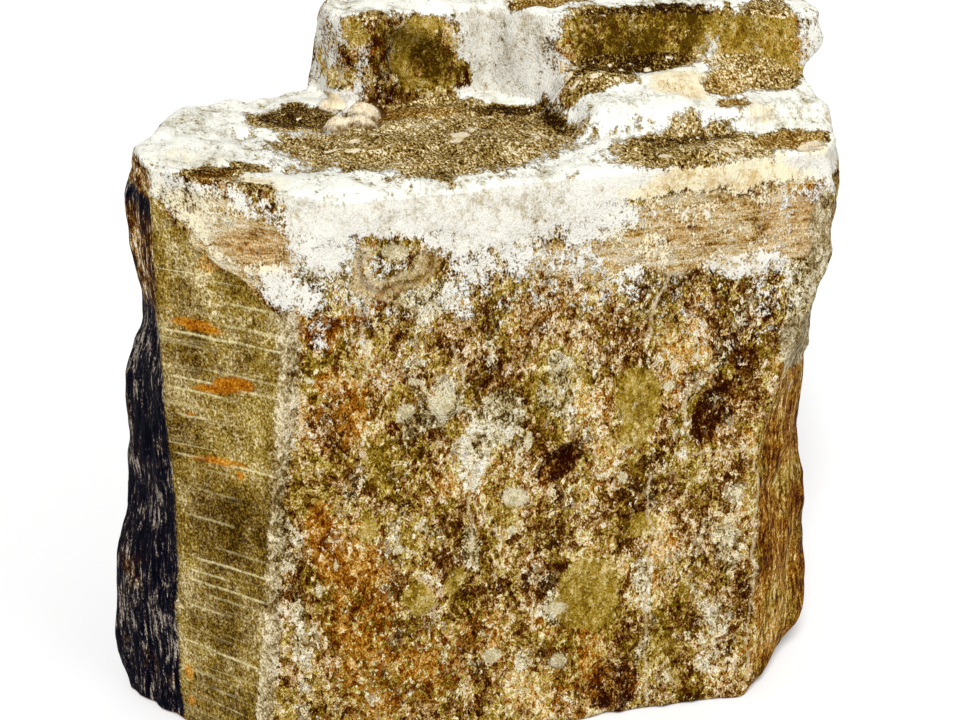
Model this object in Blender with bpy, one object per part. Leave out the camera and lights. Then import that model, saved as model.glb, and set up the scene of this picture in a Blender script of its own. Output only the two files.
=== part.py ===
"""A rough block of soapstone with a stepped top, one solid piece that stands on its flat base.

Metres, +Z up. The origin is under the middle of the block, on the plane it stands on, and -Y is the
broad rough face. Dimensions are written in millimetres and become metres when the mesh is made.

The block is a subdivided cube whose points are moved: upright corner posts give the outline at
every height, a height map gives the stepped top, cut planes take off the broken edges, and a
coarse noise roughens what is left. Pits are cut and hard nodules are joined on as small solids.
"""

import math

import bmesh
import bpy
import numpy as np
from mathutils import Matrix, Vector
from mathutils.bvhtree import BVHTree

MM = 0.001

# Driving dimensions.
LEDGE_HEIGHT = 136.0  # the broad lower ledge above the base
STEP_HEIGHT = 20.0  # the raised back part above the ledge
CELLS_ACROSS, CELLS_DEEP, CELLS_TALL = 31, 21, 27  # cells of the cube along X, Y and Z

# Corner posts, each a curve up the block: heights, then x and y at those heights.
POSTS = {
    "chamfer_left": (
        (0, 25, 60, 100, 136),
        (-70, -70, -69, -70.5, -71),
        (-32, -33, -34.5, -33, -31),
    ),
    "front_left": (
        (0, 16, 42, 67, 86, 102, 136),
        (-54.5, -53, -50, -48, -45.5, -44, -45),
        (-50, -50, -50, -50, -50, -50, -50),
    ),
    "front_right": (
        (0, 6, 28, 67, 77, 88, 100, 112, 125, 136),
        (60.5, 64.2, 63.2, 61.8, 63.5, 67.5, 71.5, 75, 77.5, 76),
        (-49, -49.5, -50, -50, -50, -49.5, -49, -48.5, -47, -45),
    ),
    "right_front": (
        (0, 6, 12, 20, 30, 40, 60, 80, 100, 120, 130, 136, 144, 150, 156),
        (68.5, 76.5, 82.5, 83.5, 82.5, 81, 78, 78, 80.5, 82.5, 82, 81, 80.8, 87, 87),
        (-37, -35, -33, -31, -30.5, -30, -30, -31, -33, -33, -33, -32, -30, -27, -24),
    ),
    "back_right": (
        (0, 30, 80, 130, 156),
        (70, 76, 78, 80.5, 81.5),
        (46, 50, 53, 51, 48),
    ),
    "back_left": (
        (0, 30, 80, 130, 156),
        (-34, -33, -27, -21, -18),
        (48, 52, 55, 54, 51),
    ),
    "left_step": (
        (0, 30, 70, 105, 125, 136, 156),
        (-50, -48, -43, -35, -29.5, -28.5, -26),
        (34, 35, 31, 26, 24, 25.5, 21),
    ),
    "left_back": (
        (0, 30, 70, 105, 136),
        (-70, -69, -66, -62, -59.5),
        (10, 12, 12, 9, 6.8),
    ),
    "left_front": (
        (0, 10, 25, 50, 75, 88, 98, 123, 136),
        (-82, -84.5, -83.5, -81.8, -77.5, -76, -73, -75, -72.5),
        (-15, -13, -12, -11, -11, -11, -11, -11, -12),
    ),
}

# Each side of the cube as a chain of posts, with the share of its length where each post stands.
SIDES = {
    "front": (("chamfer_left", 0.0), ("front_left", 7 / 31), ("front_right", 1.0)),
    "right": (("front_right", 0.0), ("right_front", 0.25), ("back_right", 1.0)),
    "back": (("back_left", 0.0), ("back_right", 1.0)),
    "left": (
        ("chamfer_left", 0.0),
        ("left_front", 0.2),
        ("left_back", 0.4),
        ("left_step", 0.7),
        ("back_left", 1.0),
    ),
}

# The raised back part. Its riser runs from the left end along the back of the ledge (y of its foot
# for each x), then comes forward along the ledge's right end (x of its foot for each y).
STEP_LEFT_END, STEP_LEFT_RUN = -26.5, 2.0
RISER_X = (-30, -27, -22, -15, -10, 5, 12, 18, 22, 30)
RISER_Y = (19, 17, 8, 3, 6, 7, 11, 6, 3, 3)
RISER_RUN = 5.5
LEDGE_END_Y = (-52, -40, -28, -16, 0, 12)
LEDGE_END_X = (34, 21, 22, 23.5, 20, 13)
LEDGE_END_RUN = 6.0
# Terraces that climb behind the right half of the front edge: y of the foot, run and rise of each,
# then the last rise up to the crest, whose foot has a y for each x.
FRONT_TERRACE_HEIGHT = 1.0
TERRACES = ((-31, 4, 5.0), (-19, 9, 3.5))
CREST_X = (20, 45, 60, 75, 88)
CREST_Y = (-3, -2, -5, -12, -18)
CREST_RUN, CREST_RISE = 7.0, STEP_HEIGHT - 8.5
# The ledge: a shallow dish (middle, half widths, depth) and a swell towards the left corner.
DISH_MIDDLE, DISH_HALF_WIDTHS, DISH_DEPTH = (-2, -20), (32, 24), 0.9
SWELL_FROM_X, SWELL_RUN, SWELL_RISE = -40, 20, 3.0
# How the foot lines wander (size of the waves, how far they go) and how rough the top is.
WAVE_SIZE, WAVE_REACH = 14.0, 2.2
RIPPLE_SIZE, RIPPLE_REACH = 9.0, 1.6
TOP_ROUGH_SIZE, TOP_ROUGH_DEPTH = 7.0, 0.5

# Broken edges, each a plane that cuts the block: outward direction and a point on the plane.
CUT_PLANES = {
    "front_left_shoulder": ((-0.35, -0.91, 0.22), (-46, -49.6, 113)),
    "front_rim": ((0.0, -0.62, 0.78), (0, -49.2, 133.5)),
    "left_rim": ((-0.72, -0.1, 0.69), (-72.5, -20, 139)),
    "right_rim": ((0.62, -0.55, 0.56), (78, -42, 134)),
    "left_foot": ((-0.7, 0.35, -0.62), (-80, -2, 0.5)),
    "right_foot": ((0.72, 0.2, -0.66), (77, 10, 8)),
    "back_foot": ((0.1, 0.8, -0.59), (20, 46, 6)),
    "back_left_corner": ((-0.6, 0.78, 0.16), (-35, 43, 90)),
    "back_right_corner": ((0.8, 0.58, 0.1), (75, 44, 80)),
    "back_crest": ((0.05, 0.6, 0.8), (30, 47, 154)),
    "step_left_corner": ((-0.55, 0.3, 0.78), (-26, 30, 153)),
}
CUT_WAVE_SIZE, CUT_WAVE_DEPTH = 13.0, 1.1  # how uneven the cut planes are

# Pits and hollows: place, moved to the nearest point of the surface, half widths along x, y and z,
# and lean in the front's plane in degrees.
PITS = {
    "crack_hole": ((15.5, -50, 71.5), (5.6, 4.0, 2.8), -38),
    "shoulder_pit": ((-36.3, -50, 106), (4.2, 1.9, 3.6), 35),
    "front_hollow": ((49.5, -51, 78.5), (5.0, 1.7, 8.0), -12),
    "foot_hollow": ((28.5, -51, 11), (8.0, 1.8, 6.0), 0),
    "riser_niche": ((-5.0, 5.5, 147.5), (9.0, 4.0, 7.5), 0),
}

# Hard pale nodules that stand proud, half sunk: place, moved to the nearest point of the surface,
# and half widths along x, y and z.
NODULES = {
    "ledge_nodule_left": ((-27.5, -1.5, 136.2), (4.6, 3.4, 2.4)),
    "ledge_nodule_right": ((-21.5, -2.6, 136.0), (4.2, 3.2, 2.2)),
    "riser_nodule_left": ((-25.5, 12.5, 139.5), (4.6, 4.0, 3.4)),
    "riser_nodule_right": ((-18.5, 6.0, 138.5), (4.8, 3.4, 3.2)),
    "front_nodule_left": ((-20.0, -49.6, 87.0), (3.6, 1.0, 3.4)),
    "front_nodule_right": ((-11.8, -49.6, 87.0), (4.3, 1.1, 3.9)),
    "front_nodule_middle": ((5.4, -49.6, 61.6), (3.4, 1.2, 2.5)),
    "front_nodule_low": ((-16.6, -49.6, 37.2), (3.8, 1.1, 3.9)),
    "foot_nodule": ((15.5, -49.6, 17.4), (2.5, 1.0, 2.8)),
}
UNEVEN = 0.28  # share of its size by which a pit or a nodule departs from a smooth ball
DENT_SIZE = 0.8  # size of the dents in that ball, where its radius is 1

# Coarse roughness: size of its lumps and how far they stand out or in.
LUMP_SIZE, LUMP_DEPTH = 26.0, 1.6
KNOB_SIZE, KNOB_DEPTH = 11.0, 1.0
# Upright ribs on the fibrous sides and back, where the stone split along its grain: there the
# outward direction turns away from -Y and stays near level.
RIB_SIZE, RIB_DEPTH, RIB_STRETCH = 10.0, 1.3, 5.0
FIBROUS_FROM, FIBROUS_RUN = -0.75, 0.25  # its y component, where the ribs start
LEVEL_BELOW, LEVEL_RUN = 0.6, 0.3  # its z component, where the ribs end
# The sawn chamfer at the front left: it ends at these y and z, and it fades over these runs.
CHAMFER_BACK, CHAMFER_TOP = -30, 118
CHAMFER_EDGE_RUN, CHAMFER_TOP_RUN = 3, 12
SAWN_SHARE = 0.15  # share of the roughness that the sawn chamfer keeps
# The flat spot it rests on, an oval, and how far the broken underside lifts around it.
REST_HALF_X, REST_HALF_Y = 60.0, 37.0
UNDERSIDE_LIFT, LIFT_RUN, CHIP_SIZE = 0.6, 0.45, 18.0

SHARP_ANGLE = 35.0  # degrees between faces above which an edge stays sharp
ON_FACE = 0.001  # how near a face of the cube a point counts as on it, as a share of its width
ROW_SOFTENING = 3  # rounds of averaging that line the top's rows of points up from column to column
TOP_SOFTENING, TOP_SHARE = 2, 0.5  # rounds of averaging of the stepped top, and share of the way
EDGE_WEAR = 0.35  # share of the way that one round of averaging takes each point, which wears edges


def eased(share):
    """0 to 1 with flat ends, for shares of a way from 0 to 1."""
    share = np.clip(share, 0, 1)
    return share * share * (3 - 2 * share)


def post_curve(height, heights, values):
    """Cubic curve through the post's values: slopes are averaged, and level at each turn."""
    heights = np.asarray(heights, float)
    values = np.asarray(values, float)
    steps = np.diff(values) / np.diff(heights)
    turns = steps[1:] * steps[:-1] <= 0
    inner = np.where(turns, 0, (steps[1:] + steps[:-1]) / 2)
    slopes = np.concatenate([steps[:1], inner, steps[-1:]])
    height = np.clip(height, heights[0], heights[-1])
    i = np.clip(np.searchsorted(heights, height, side="right") - 1, 0, len(steps) - 1)
    span = heights[i + 1] - heights[i]
    s = (height - heights[i]) / span
    start = (2 * s**3 - 3 * s**2 + 1) * values[i] + (s**3 - 2 * s**2 + s) * span * slopes[i]
    end = (3 * s**2 - 2 * s**3) * values[i + 1] + (s**3 - s**2) * span * slopes[i + 1]
    return start + end


def side_point(side, along, height):
    """x and y on a side, the share `along` of its length, at each height."""
    chain = SIDES[side]
    share = np.array([s for _, s in chain])
    i = np.clip(np.searchsorted(share, along, side="right") - 1, 0, len(chain) - 2)
    local = (along - share[i]) / (share[i + 1] - share[i])
    curves = []
    for name, _ in chain:
        heights, xs, ys = POSTS[name]
        curves.append([post_curve(height, heights, xs), post_curve(height, heights, ys)])
    curves = np.moveaxis(np.array(curves), 1, -1)
    pick = np.arange(len(chain)).reshape((-1,) + (1,) * np.ndim(local))
    first = np.sum(np.where((pick == i)[..., None], curves, 0), axis=0)
    second = np.sum(np.where((pick == i + 1)[..., None], curves, 0), axis=0)
    return first + (second - first) * local[..., None]


def lattice_noise(points, seed):
    """Smooth random values from -1 to 1, with one random value at each whole-numbered corner."""
    corner = np.floor(points).astype(np.int64)
    inside = points - corner
    inside = inside**3 * (inside * (inside * 6 - 15) + 10)
    total = 0
    for step in np.ndindex(2, 2, 2):
        x, y, z = np.moveaxis(corner + step, -1, 0)
        mixed = (x * 374761393 + y * 668265263 + z * 2147483647 + seed * 1274126177) & 0xFFFFFFFF
        mixed = ((mixed ^ (mixed >> 13)) * 1274126177) & 0xFFFFFFFF
        value = (mixed ^ (mixed >> 16)) / 0xFFFFFFFF
        total = total + value * np.prod(np.where(step, inside, 1 - inside), axis=-1)
    return total * 2 - 1


def layered_noise(points, size, layers, seed):
    """Sum of noises, each layer half the size and half the strength of the one before."""
    total, reach = 0, 0
    for layer in range(layers):
        finer = points / size * 2.03**layer + 17.1 * layer
        total = total + lattice_noise(finer, seed + layer) / 2**layer
        reach += 1 / 2**layer
    return total / reach


def top_height(x, y):
    """Height of the stepped top above the base plane."""
    plan = np.stack([x, y, np.zeros_like(x)], axis=-1)
    behind = y + layered_noise(plan, WAVE_SIZE, 3, seed=5) * WAVE_REACH
    aside = x + layered_noise(plan, RIPPLE_SIZE, 3, seed=9) * RIPPLE_REACH
    off_middle = (plan[..., :2] - DISH_MIDDLE) / DISH_HALF_WIDTHS
    dish = DISH_DEPTH * eased(1 - np.linalg.norm(off_middle, axis=-1))
    swell = SWELL_RISE * eased((SWELL_FROM_X - x) / SWELL_RUN)
    riser = eased((behind - np.interp(x, RISER_X, RISER_Y)) / RISER_RUN)
    step = np.minimum(riser, eased((aside - STEP_LEFT_END) / STEP_LEFT_RUN)) * STEP_HEIGHT
    crest = eased((behind - np.interp(x, CREST_X, CREST_Y)) / CREST_RUN)
    terraces = FRONT_TERRACE_HEIGHT + CREST_RISE * crest
    for foot, run, rise in TERRACES:
        terraces = terraces + rise * eased((behind - foot) / run)
    past_ledge = eased((aside - np.interp(y, LEDGE_END_Y, LEDGE_END_X)) / LEDGE_END_RUN)
    above_ledge = np.maximum(np.maximum(step, past_ledge * terraces), swell - dish)
    return LEDGE_HEIGHT + above_ledge + layered_noise(plan, TOP_ROUGH_SIZE, 3, seed=21) * TOP_ROUGH_DEPTH


def rim_height(side, along):
    """Height of the top edge over a point of a side, where the outline itself leans a little."""
    height = np.full(np.shape(along), LEDGE_HEIGHT)
    for _ in range(4):
        x, y = np.moveaxis(side_point(side, along, height), -1, 0)
        height = top_height(x, y)
    return height


def cap_plan(u, v, height_of):
    """x and y inside the outline, blended from its four sides (a Coons patch)."""
    zero, one = np.zeros_like(u), np.ones_like(u)

    def edge(side, along):
        return side_point(side, along, height_of(side, along))

    u2, v2 = u[..., None], v[..., None]
    between = (1 - v2) * edge("front", u) + v2 * edge("back", u)
    across = (1 - u2) * edge("left", v) + u2 * edge("right", v)
    corners = (
        (1 - u2) * (1 - v2) * edge("front", zero)
        + u2 * (1 - v2) * edge("front", one)
        + (1 - u2) * v2 * edge("back", zero)
        + u2 * v2 * edge("back", one)
    )
    return between + across - corners


def even_rows(u_steps, v_steps, samples=241):
    """For each column u, the v of each row that spaces the rows evenly along the stepped top."""
    fine = np.linspace(0, 1, samples)
    u, v = np.meshgrid(np.linspace(0, 1, u_steps + 1), fine, indexing="ij")
    plan = cap_plan(u, v, rim_height)
    surface = np.dstack([plan, top_height(plan[..., 0], plan[..., 1])])
    lengths = np.cumsum(np.linalg.norm(np.diff(surface, axis=1), axis=2), axis=1)
    share = np.linspace(0, 1, v_steps + 1)
    rows = np.array([np.interp(share * row[-1], np.r_[0, row], fine) for row in lengths])
    for _ in range(ROW_SOFTENING):
        padded = np.pad(rows, ((1, 1), (0, 0)), mode="edge")
        rows = (padded[:-2] + 2 * rows + padded[2:]) / 4
    return rows


def place_on_stone(cube):
    """Moves the points of the subdivided cube, from -1 to 1, to the block's surface, in mm."""
    u, v, w = ((cube + 1) / 2).T
    rows = even_rows(CELLS_ACROSS, CELLS_DEEP)
    column = np.rint(u * CELLS_ACROSS).astype(int)
    row = np.rint(v * CELLS_DEEP).astype(int)
    even_v = rows[column, row]
    on_top = w > 1 - ON_FACE
    plan = np.where(
        on_top[:, None],
        cap_plan(u, even_v, rim_height),
        cap_plan(u, even_v, lambda side, along: np.zeros_like(along)),
    )
    height = np.where(on_top, top_height(plan[:, 0], plan[:, 1]), 0.0)
    placed = np.column_stack([plan, height])
    for side, here, along in (
        ("front", v < ON_FACE, u),
        ("back", v > 1 - ON_FACE, u),
        ("left", u < ON_FACE, even_v),
        ("right", u > 1 - ON_FACE, even_v),
    ):
        rise = w[here] * rim_height(side, along[here])
        placed[here] = np.column_stack([side_point(side, along[here], rise), rise])
    return placed


def cut_edges(points):
    """Points beyond a cut plane move back onto it; the planes are a little uneven."""
    for number, (direction, through) in enumerate(CUT_PLANES.values()):
        normal = np.array(direction) / np.linalg.norm(direction)
        uneven = layered_noise(points, CUT_WAVE_SIZE, 3, seed=40 + number) * CUT_WAVE_DEPTH
        beyond = (points - through) @ normal - uneven
        points = points - np.maximum(beyond, 0)[:, None] * normal
    return points


def roughness(points, normals):
    """How far each point moves along its normal. The sawn chamfer moves least."""
    lumps = layered_noise(points, LUMP_SIZE, 3, seed=60) * LUMP_DEPTH
    knobs = layered_noise(points, KNOB_SIZE, 2, seed=70) * KNOB_DEPTH
    ribs = layered_noise(points / (1, 1, RIB_STRETCH), RIB_SIZE, 2, seed=80) * RIB_DEPTH
    fibrous = eased((normals[:, 1] - FIBROUS_FROM) / FIBROUS_RUN)
    fibrous = fibrous * eased((LEVEL_BELOW - np.abs(normals[:, 2])) / LEVEL_RUN)
    left = post_curve(points[:, 2], *POSTS["front_left"][:2])
    on_chamfer = eased((left - points[:, 0]) / CHAMFER_EDGE_RUN)
    on_chamfer = on_chamfer * eased((CHAMFER_BACK - points[:, 1]) / CHAMFER_EDGE_RUN)
    on_chamfer = on_chamfer * eased((CHAMFER_TOP - points[:, 2]) / CHAMFER_TOP_RUN)
    return (lumps + knobs + ribs * fibrous) * (1 - (1 - SAWN_SHARE) * on_chamfer)


def underside_lift(points):
    """How far the broken underside stands off the base plane: nothing on the flat spot."""
    past_flat = np.hypot(points[:, 0] / REST_HALF_X, points[:, 1] / REST_HALF_Y) - 1
    chips = 1 + layered_noise(points, CHIP_SIZE, 3, seed=90)
    return UNDERSIDE_LIFT * eased(past_flat / LIFT_RUN) * chips


def subdivided_cube():
    """A cube from -1 to 1, its faces divided into cells."""
    mesh = bmesh.new()
    bmesh.ops.create_cube(mesh, size=2)
    for axis, cells in enumerate((CELLS_ACROSS, CELLS_DEEP, CELLS_TALL)):
        along = [e for e in mesh.edges if abs(e.verts[0].co[axis] - e.verts[1].co[axis]) > 1e-4]
        bmesh.ops.subdivide_edges(mesh, edges=along, cuts=cells - 1, use_grid_fill=True)
    return mesh


def move_to(vertices, points):
    """Puts each vertex at its point."""
    for vertex, point in zip(vertices, points):
        vertex.co = point


def average(mesh, vertices, share):
    """Moves each vertex the given share of the way to the middle of its neighbours."""
    axes = {"use_axis_x": True, "use_axis_y": True, "use_axis_z": True}
    bmesh.ops.smooth_vert(mesh, verts=list(vertices), factor=share, **axes)


def rough_block():
    """The block itself, before pits are cut and nodules are joined on."""
    mesh = subdivided_cube()
    cube = np.array([vertex.co for vertex in mesh.verts])
    underneath = cube[:, 2] < 2 * ON_FACE - 1
    top_inside = cube[:, 2] > 1 - 2 * ON_FACE
    top_inside = top_inside & (np.abs(cube[:, :2]).max(axis=1) < 1 - 2 * ON_FACE)
    vertices = np.array(mesh.verts)
    move_to(vertices, place_on_stone(cube))
    for _ in range(TOP_SOFTENING):
        average(mesh, vertices[top_inside], TOP_SHARE)
    placed = cut_edges(np.array([vertex.co for vertex in vertices]))
    move_to(vertices, placed)
    average(mesh, vertices[~underneath], EDGE_WEAR)
    bmesh.ops.recalc_face_normals(mesh, faces=mesh.faces)
    mesh.normal_update()
    placed = np.array([vertex.co for vertex in vertices])
    normals = np.array([vertex.normal for vertex in vertices])
    normals[underneath] = normals[underneath] * (1, 1, 0)
    placed = placed + normals * roughness(placed, normals)[:, None]
    placed[underneath, 2] += underside_lift(placed[underneath])
    move_to(vertices, placed * MM)
    bmesh.ops.triangulate(mesh, faces=mesh.faces, quad_method="BEAUTY")
    data = bpy.data.meshes.new("soapstone")
    mesh.to_mesh(data)
    mesh.free()
    data.shade_smooth()
    data.set_sharp_from_angle(angle=math.radians(SHARP_ANGLE))
    stone = bpy.data.objects.new("soapstone", data)
    bpy.context.scene.collection.objects.link(stone)
    return stone


def small_solid(name, surface, place, half_widths, lean=0.0):
    """A squashed ball on the surface, turned `lean` degrees about Y: a cutter, or joined on."""
    place, _, _, _ = surface.find_nearest(Vector(place) * MM)
    mesh = bmesh.new()
    bmesh.ops.create_icosphere(mesh, subdivisions=2, radius=1.0)
    ball = np.array([vertex.co for vertex in mesh.verts])
    dents = 1 + UNEVEN * layered_noise(ball + np.array(place) / MM, DENT_SIZE, 2, seed=95)
    for vertex, dent in zip(mesh.verts, dents):
        vertex.co *= dent
    shape = Matrix.Diagonal(Vector(half_widths) * MM).to_4x4()
    turn = Matrix.Rotation(math.radians(lean), 4, "Y")
    mesh.transform(Matrix.Translation(place) @ turn @ shape)
    data = bpy.data.meshes.new(name)
    mesh.to_mesh(data)
    mesh.free()
    solid = bpy.data.objects.new(name, data)
    solid.hide_render = True
    solid.display_type = "WIRE"
    bpy.context.scene.collection.objects.link(solid)
    return solid


def combine(stone, solid, operation):
    """Cuts a small solid from the stone, or joins it on."""
    change = stone.modifiers.new(solid.name, "BOOLEAN")
    change.operation = operation
    change.object = solid
    change.solver = "EXACT"


def soapstone_material():
    """Olive-brown stone, dull, as seen on the rough faces."""
    material = bpy.data.materials.new("soapstone")
    material.use_nodes = True
    shader = material.node_tree.nodes["Principled BSDF"]
    shader.inputs["Base Color"].default_value = (0.26, 0.19, 0.09, 1.0)
    shader.inputs["Roughness"].default_value = 0.7
    shader.inputs["Metallic"].default_value = 0.0
    return material


def main():
    for old in list(bpy.data.objects):
        bpy.data.objects.remove(old)
    stone = rough_block()
    corners = [vertex.co for vertex in stone.data.vertices]
    surface = BVHTree.FromPolygons(corners, [face.vertices for face in stone.data.polygons])
    for name, (place, half_widths, lean) in PITS.items():
        combine(stone, small_solid(name, surface, place, half_widths, lean), "DIFFERENCE")
    for name, (place, half_widths) in NODULES.items():
        combine(stone, small_solid(name, surface, place, half_widths), "UNION")
    stone.data.materials.append(soapstone_material())


main()
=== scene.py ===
"""Looks of a rough soapstone block with a stepped top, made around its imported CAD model.

Sizes and places are in millimetres until the mesh is made. +Z is up, -Y is the broad rough face,
and the origin is under the middle of the block, on the plane it stands on.

  Form    the block's own shape on a fine net: corner posts, stepped top, broken edges
  Relief  what moves the net's points along their normals: chips, fibres, veins, nodules and pits
  Zones   where each finish lies, kept on the points: powder, saw marks, rust, gold, fibres
  Finish  the stone's material, which reads the zones
  Stage   floor, lights and camera
"""

import math

import bpy
import numpy as np
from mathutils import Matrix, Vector


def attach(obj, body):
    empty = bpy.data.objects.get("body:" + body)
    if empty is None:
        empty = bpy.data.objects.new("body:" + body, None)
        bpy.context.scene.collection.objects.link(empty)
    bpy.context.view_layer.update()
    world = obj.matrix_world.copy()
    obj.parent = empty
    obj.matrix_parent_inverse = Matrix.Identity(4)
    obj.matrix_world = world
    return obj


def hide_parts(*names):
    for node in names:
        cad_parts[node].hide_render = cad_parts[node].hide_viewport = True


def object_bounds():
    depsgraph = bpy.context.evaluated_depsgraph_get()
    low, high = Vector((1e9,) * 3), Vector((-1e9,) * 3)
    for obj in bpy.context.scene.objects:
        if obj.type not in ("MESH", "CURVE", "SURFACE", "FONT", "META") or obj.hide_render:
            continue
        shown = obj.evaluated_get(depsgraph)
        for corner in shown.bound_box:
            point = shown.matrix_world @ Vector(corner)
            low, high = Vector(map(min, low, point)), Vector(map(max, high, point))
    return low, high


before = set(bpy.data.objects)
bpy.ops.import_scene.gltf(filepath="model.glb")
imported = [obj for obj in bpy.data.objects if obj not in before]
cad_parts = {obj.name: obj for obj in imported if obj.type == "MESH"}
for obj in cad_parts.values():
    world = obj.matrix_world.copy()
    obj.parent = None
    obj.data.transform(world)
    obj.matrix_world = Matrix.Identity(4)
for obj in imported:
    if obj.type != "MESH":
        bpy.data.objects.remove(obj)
cad_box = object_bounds()

MM = 0.001

# ---- Form -------------------------------------------------------------------------------------

LEDGE_HEIGHT = 136.0  # the broad lower ledge above the base
STEP_HEIGHT = 20.0  # the raised back part above the ledge
NET_ACROSS, NET_DEEP, NET_TALL = 150, 104, 130  # cells of the net along X, Y and Z

# Corner posts, each a curve up the block: heights, then x and y at those heights.
POSTS = {
    "chamfer_left": ((0, 25, 60, 100, 136), (-70, -70, -69, -70.5, -71), (-32, -33, -34.5, -33, -31)),
    "front_left": (
        (0, 16, 42, 67, 86, 102, 136),
        (-54.5, -53, -50, -48, -45.5, -44, -45),
        (-50, -50, -50, -50, -50, -50, -50),
    ),
    "front_right": (
        (0, 6, 28, 67, 77, 88, 100, 112, 125, 136),
        (60.5, 64.2, 63.2, 61.8, 63.5, 67.5, 71.5, 75, 77.5, 76),
        (-49, -49.5, -50, -50, -50, -49.5, -49, -48.5, -47, -45),
    ),
    "right_front": (
        (0, 6, 12, 20, 30, 40, 60, 80, 100, 120, 130, 136, 144, 150, 156),
        (68.5, 76.5, 82.5, 83.5, 82.5, 81, 78, 78, 80.5, 82.5, 82, 81, 80.8, 87, 87),
        (-37, -35, -33, -31, -30.5, -30, -30, -31, -33, -33, -33, -32, -30, -27, -24),
    ),
    "back_right": ((0, 30, 80, 130, 156), (70, 76, 78, 80.5, 81.5), (46, 50, 53, 51, 48)),
    "back_left": ((0, 30, 80, 130, 156), (-34, -33, -27, -21, -18), (48, 52, 55, 54, 51)),
    "left_step": (
        (0, 30, 70, 105, 125, 136, 156),
        (-50, -48, -43, -35, -29.5, -28.5, -26),
        (34, 35, 31, 26, 24, 25.5, 21),
    ),
    "left_back": ((0, 30, 70, 105, 136), (-70, -69, -66, -62, -59.5), (10, 12, 12, 9, 6.8)),
    "left_front": (
        (0, 10, 25, 50, 75, 88, 98, 123, 136),
        (-82, -84.5, -83.5, -81.8, -77.5, -76, -73, -75, -72.5),
        (-15, -13, -12, -11, -11, -11, -11, -11, -12),
    ),
}

# Each side of the net as a chain of posts, with the share of its length where each post stands.
CHAMFER_SHARE = 7 / 31
SIDES = {
    "front": (("chamfer_left", 0.0), ("front_left", CHAMFER_SHARE), ("front_right", 1.0)),
    "right": (("front_right", 0.0), ("right_front", 0.25), ("back_right", 1.0)),
    "back": (("back_left", 0.0), ("back_right", 1.0)),
    "left": (
        ("chamfer_left", 0.0),
        ("left_front", 0.2),
        ("left_back", 0.4),
        ("left_step", 0.7),
        ("back_left", 1.0),
    ),
}

# The raised back part. Its riser runs from the left end along the back of the ledge (y of its foot
# for each x), then comes forward along the ledge's right end (x of its foot for each y).
STEP_LEFT_END, STEP_LEFT_RUN = -26.5, 2.0
RISER_X = (-30, -27, -22, -15, -10, 5, 12, 18, 22, 30)
RISER_Y = (19, 17, 8, 3, 6, 7, 11, 6, 3, 3)
RISER_RUN = 5.5
LEDGE_END_Y = (-52, -40, -28, -16, 0, 12)
LEDGE_END_X = (34, 21, 22, 23.5, 20, 13)
LEDGE_END_RUN = 6.0
# Terraces that climb behind the right half of the front edge: y of the foot, run and rise of each,
# then the last rise up to the crest, whose foot has a y for each x.
FRONT_TERRACE_HEIGHT = 1.0
TERRACES = ((-31, 4, 5.0), (-19, 9, 3.5))
CREST_X = (20, 45, 60, 75, 88)
CREST_Y = (-3, -2, -5, -12, -18)
CREST_RUN, CREST_RISE = 7.0, STEP_HEIGHT - 8.5
# The ledge: a shallow dish (middle, half widths, depth) and a swell towards the left corner.
DISH_MIDDLE, DISH_HALF_WIDTHS, DISH_DEPTH = (-2, -20), (32, 24), 0.9
SWELL_FROM_X, SWELL_RUN, SWELL_RISE = -40, 20, 3.0
# How the foot lines wander (size of the waves, how far they go) and how rough the top is.
WAVE_SIZE, WAVE_REACH = 14.0, 2.2
RIPPLE_SIZE, RIPPLE_REACH = 9.0, 1.6
TOP_ROUGH_SIZE, TOP_ROUGH_DEPTH = 7.0, 0.5

# Broken edges, each a plane that cuts the block: outward direction and a point on the plane.
CUT_PLANES = {
    "front_left_shoulder": ((-0.35, -0.91, 0.22), (-46, -49.6, 113)),
    "front_rim": ((0, -0.62, 0.78), (0, -49.2, 133.5)),
    "left_rim": ((-0.72, -0.1, 0.69), (-72.5, -20, 139)),
    "right_rim": ((0.62, -0.55, 0.56), (78, -42, 134)),
    "left_foot": ((-0.7, 0.35, -0.62), (-80, -2, 0.5)),
    "right_foot": ((0.72, 0.2, -0.66), (77, 10, 8)),
    "back_foot": ((0.1, 0.8, -0.59), (20, 46, 6)),
    "back_left_corner": ((-0.6, 0.78, 0.16), (-35, 43, 90)),
    "back_right_corner": ((0.8, 0.58, 0.1), (75, 44, 80)),
    "back_crest": ((0.05, 0.6, 0.8), (30, 47, 154)),
    "step_left_corner": ((-0.55, 0.3, 0.78), (-26, 30, 153)),
}
CUT_WAVE_SIZE, CUT_WAVE_DEPTH = 13.0, 1.1  # how uneven the cut planes are

# The flat spot it rests on, an oval, and how far the broken underside lifts around it.
REST_HALF_X, REST_HALF_Y = 60.0, 37.0
UNDERSIDE_LIFT, LIFT_RUN, UNDERSIDE_WAVE_SIZE, UNDERSIDE_CHIPS = 0.6, 0.45, 18, 0.6

ROW_SOFTENING = 6.0  # columns over which the top's rows of points are lined up
TOP_SOFTENING = 5  # rounds of averaging of the stepped top
EDGE_WEAR = 3  # rounds of averaging of the whole block, which wear its edges


def eased(share):
    """0 to 1 with flat ends, for shares of a way from 0 to 1: 3 s^2 - 2 s^3."""
    share = np.clip(share, 0, 1)
    return share * share * (3 - 2 * share)


def rise(value, start, run):
    """0 up to start and 1 from start + run on, eased between."""
    return eased((value - start) / run)


def fall(value, end, run):
    """1 up to end - run and 0 from end on, eased between."""
    return eased((end - value) / run)


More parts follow.
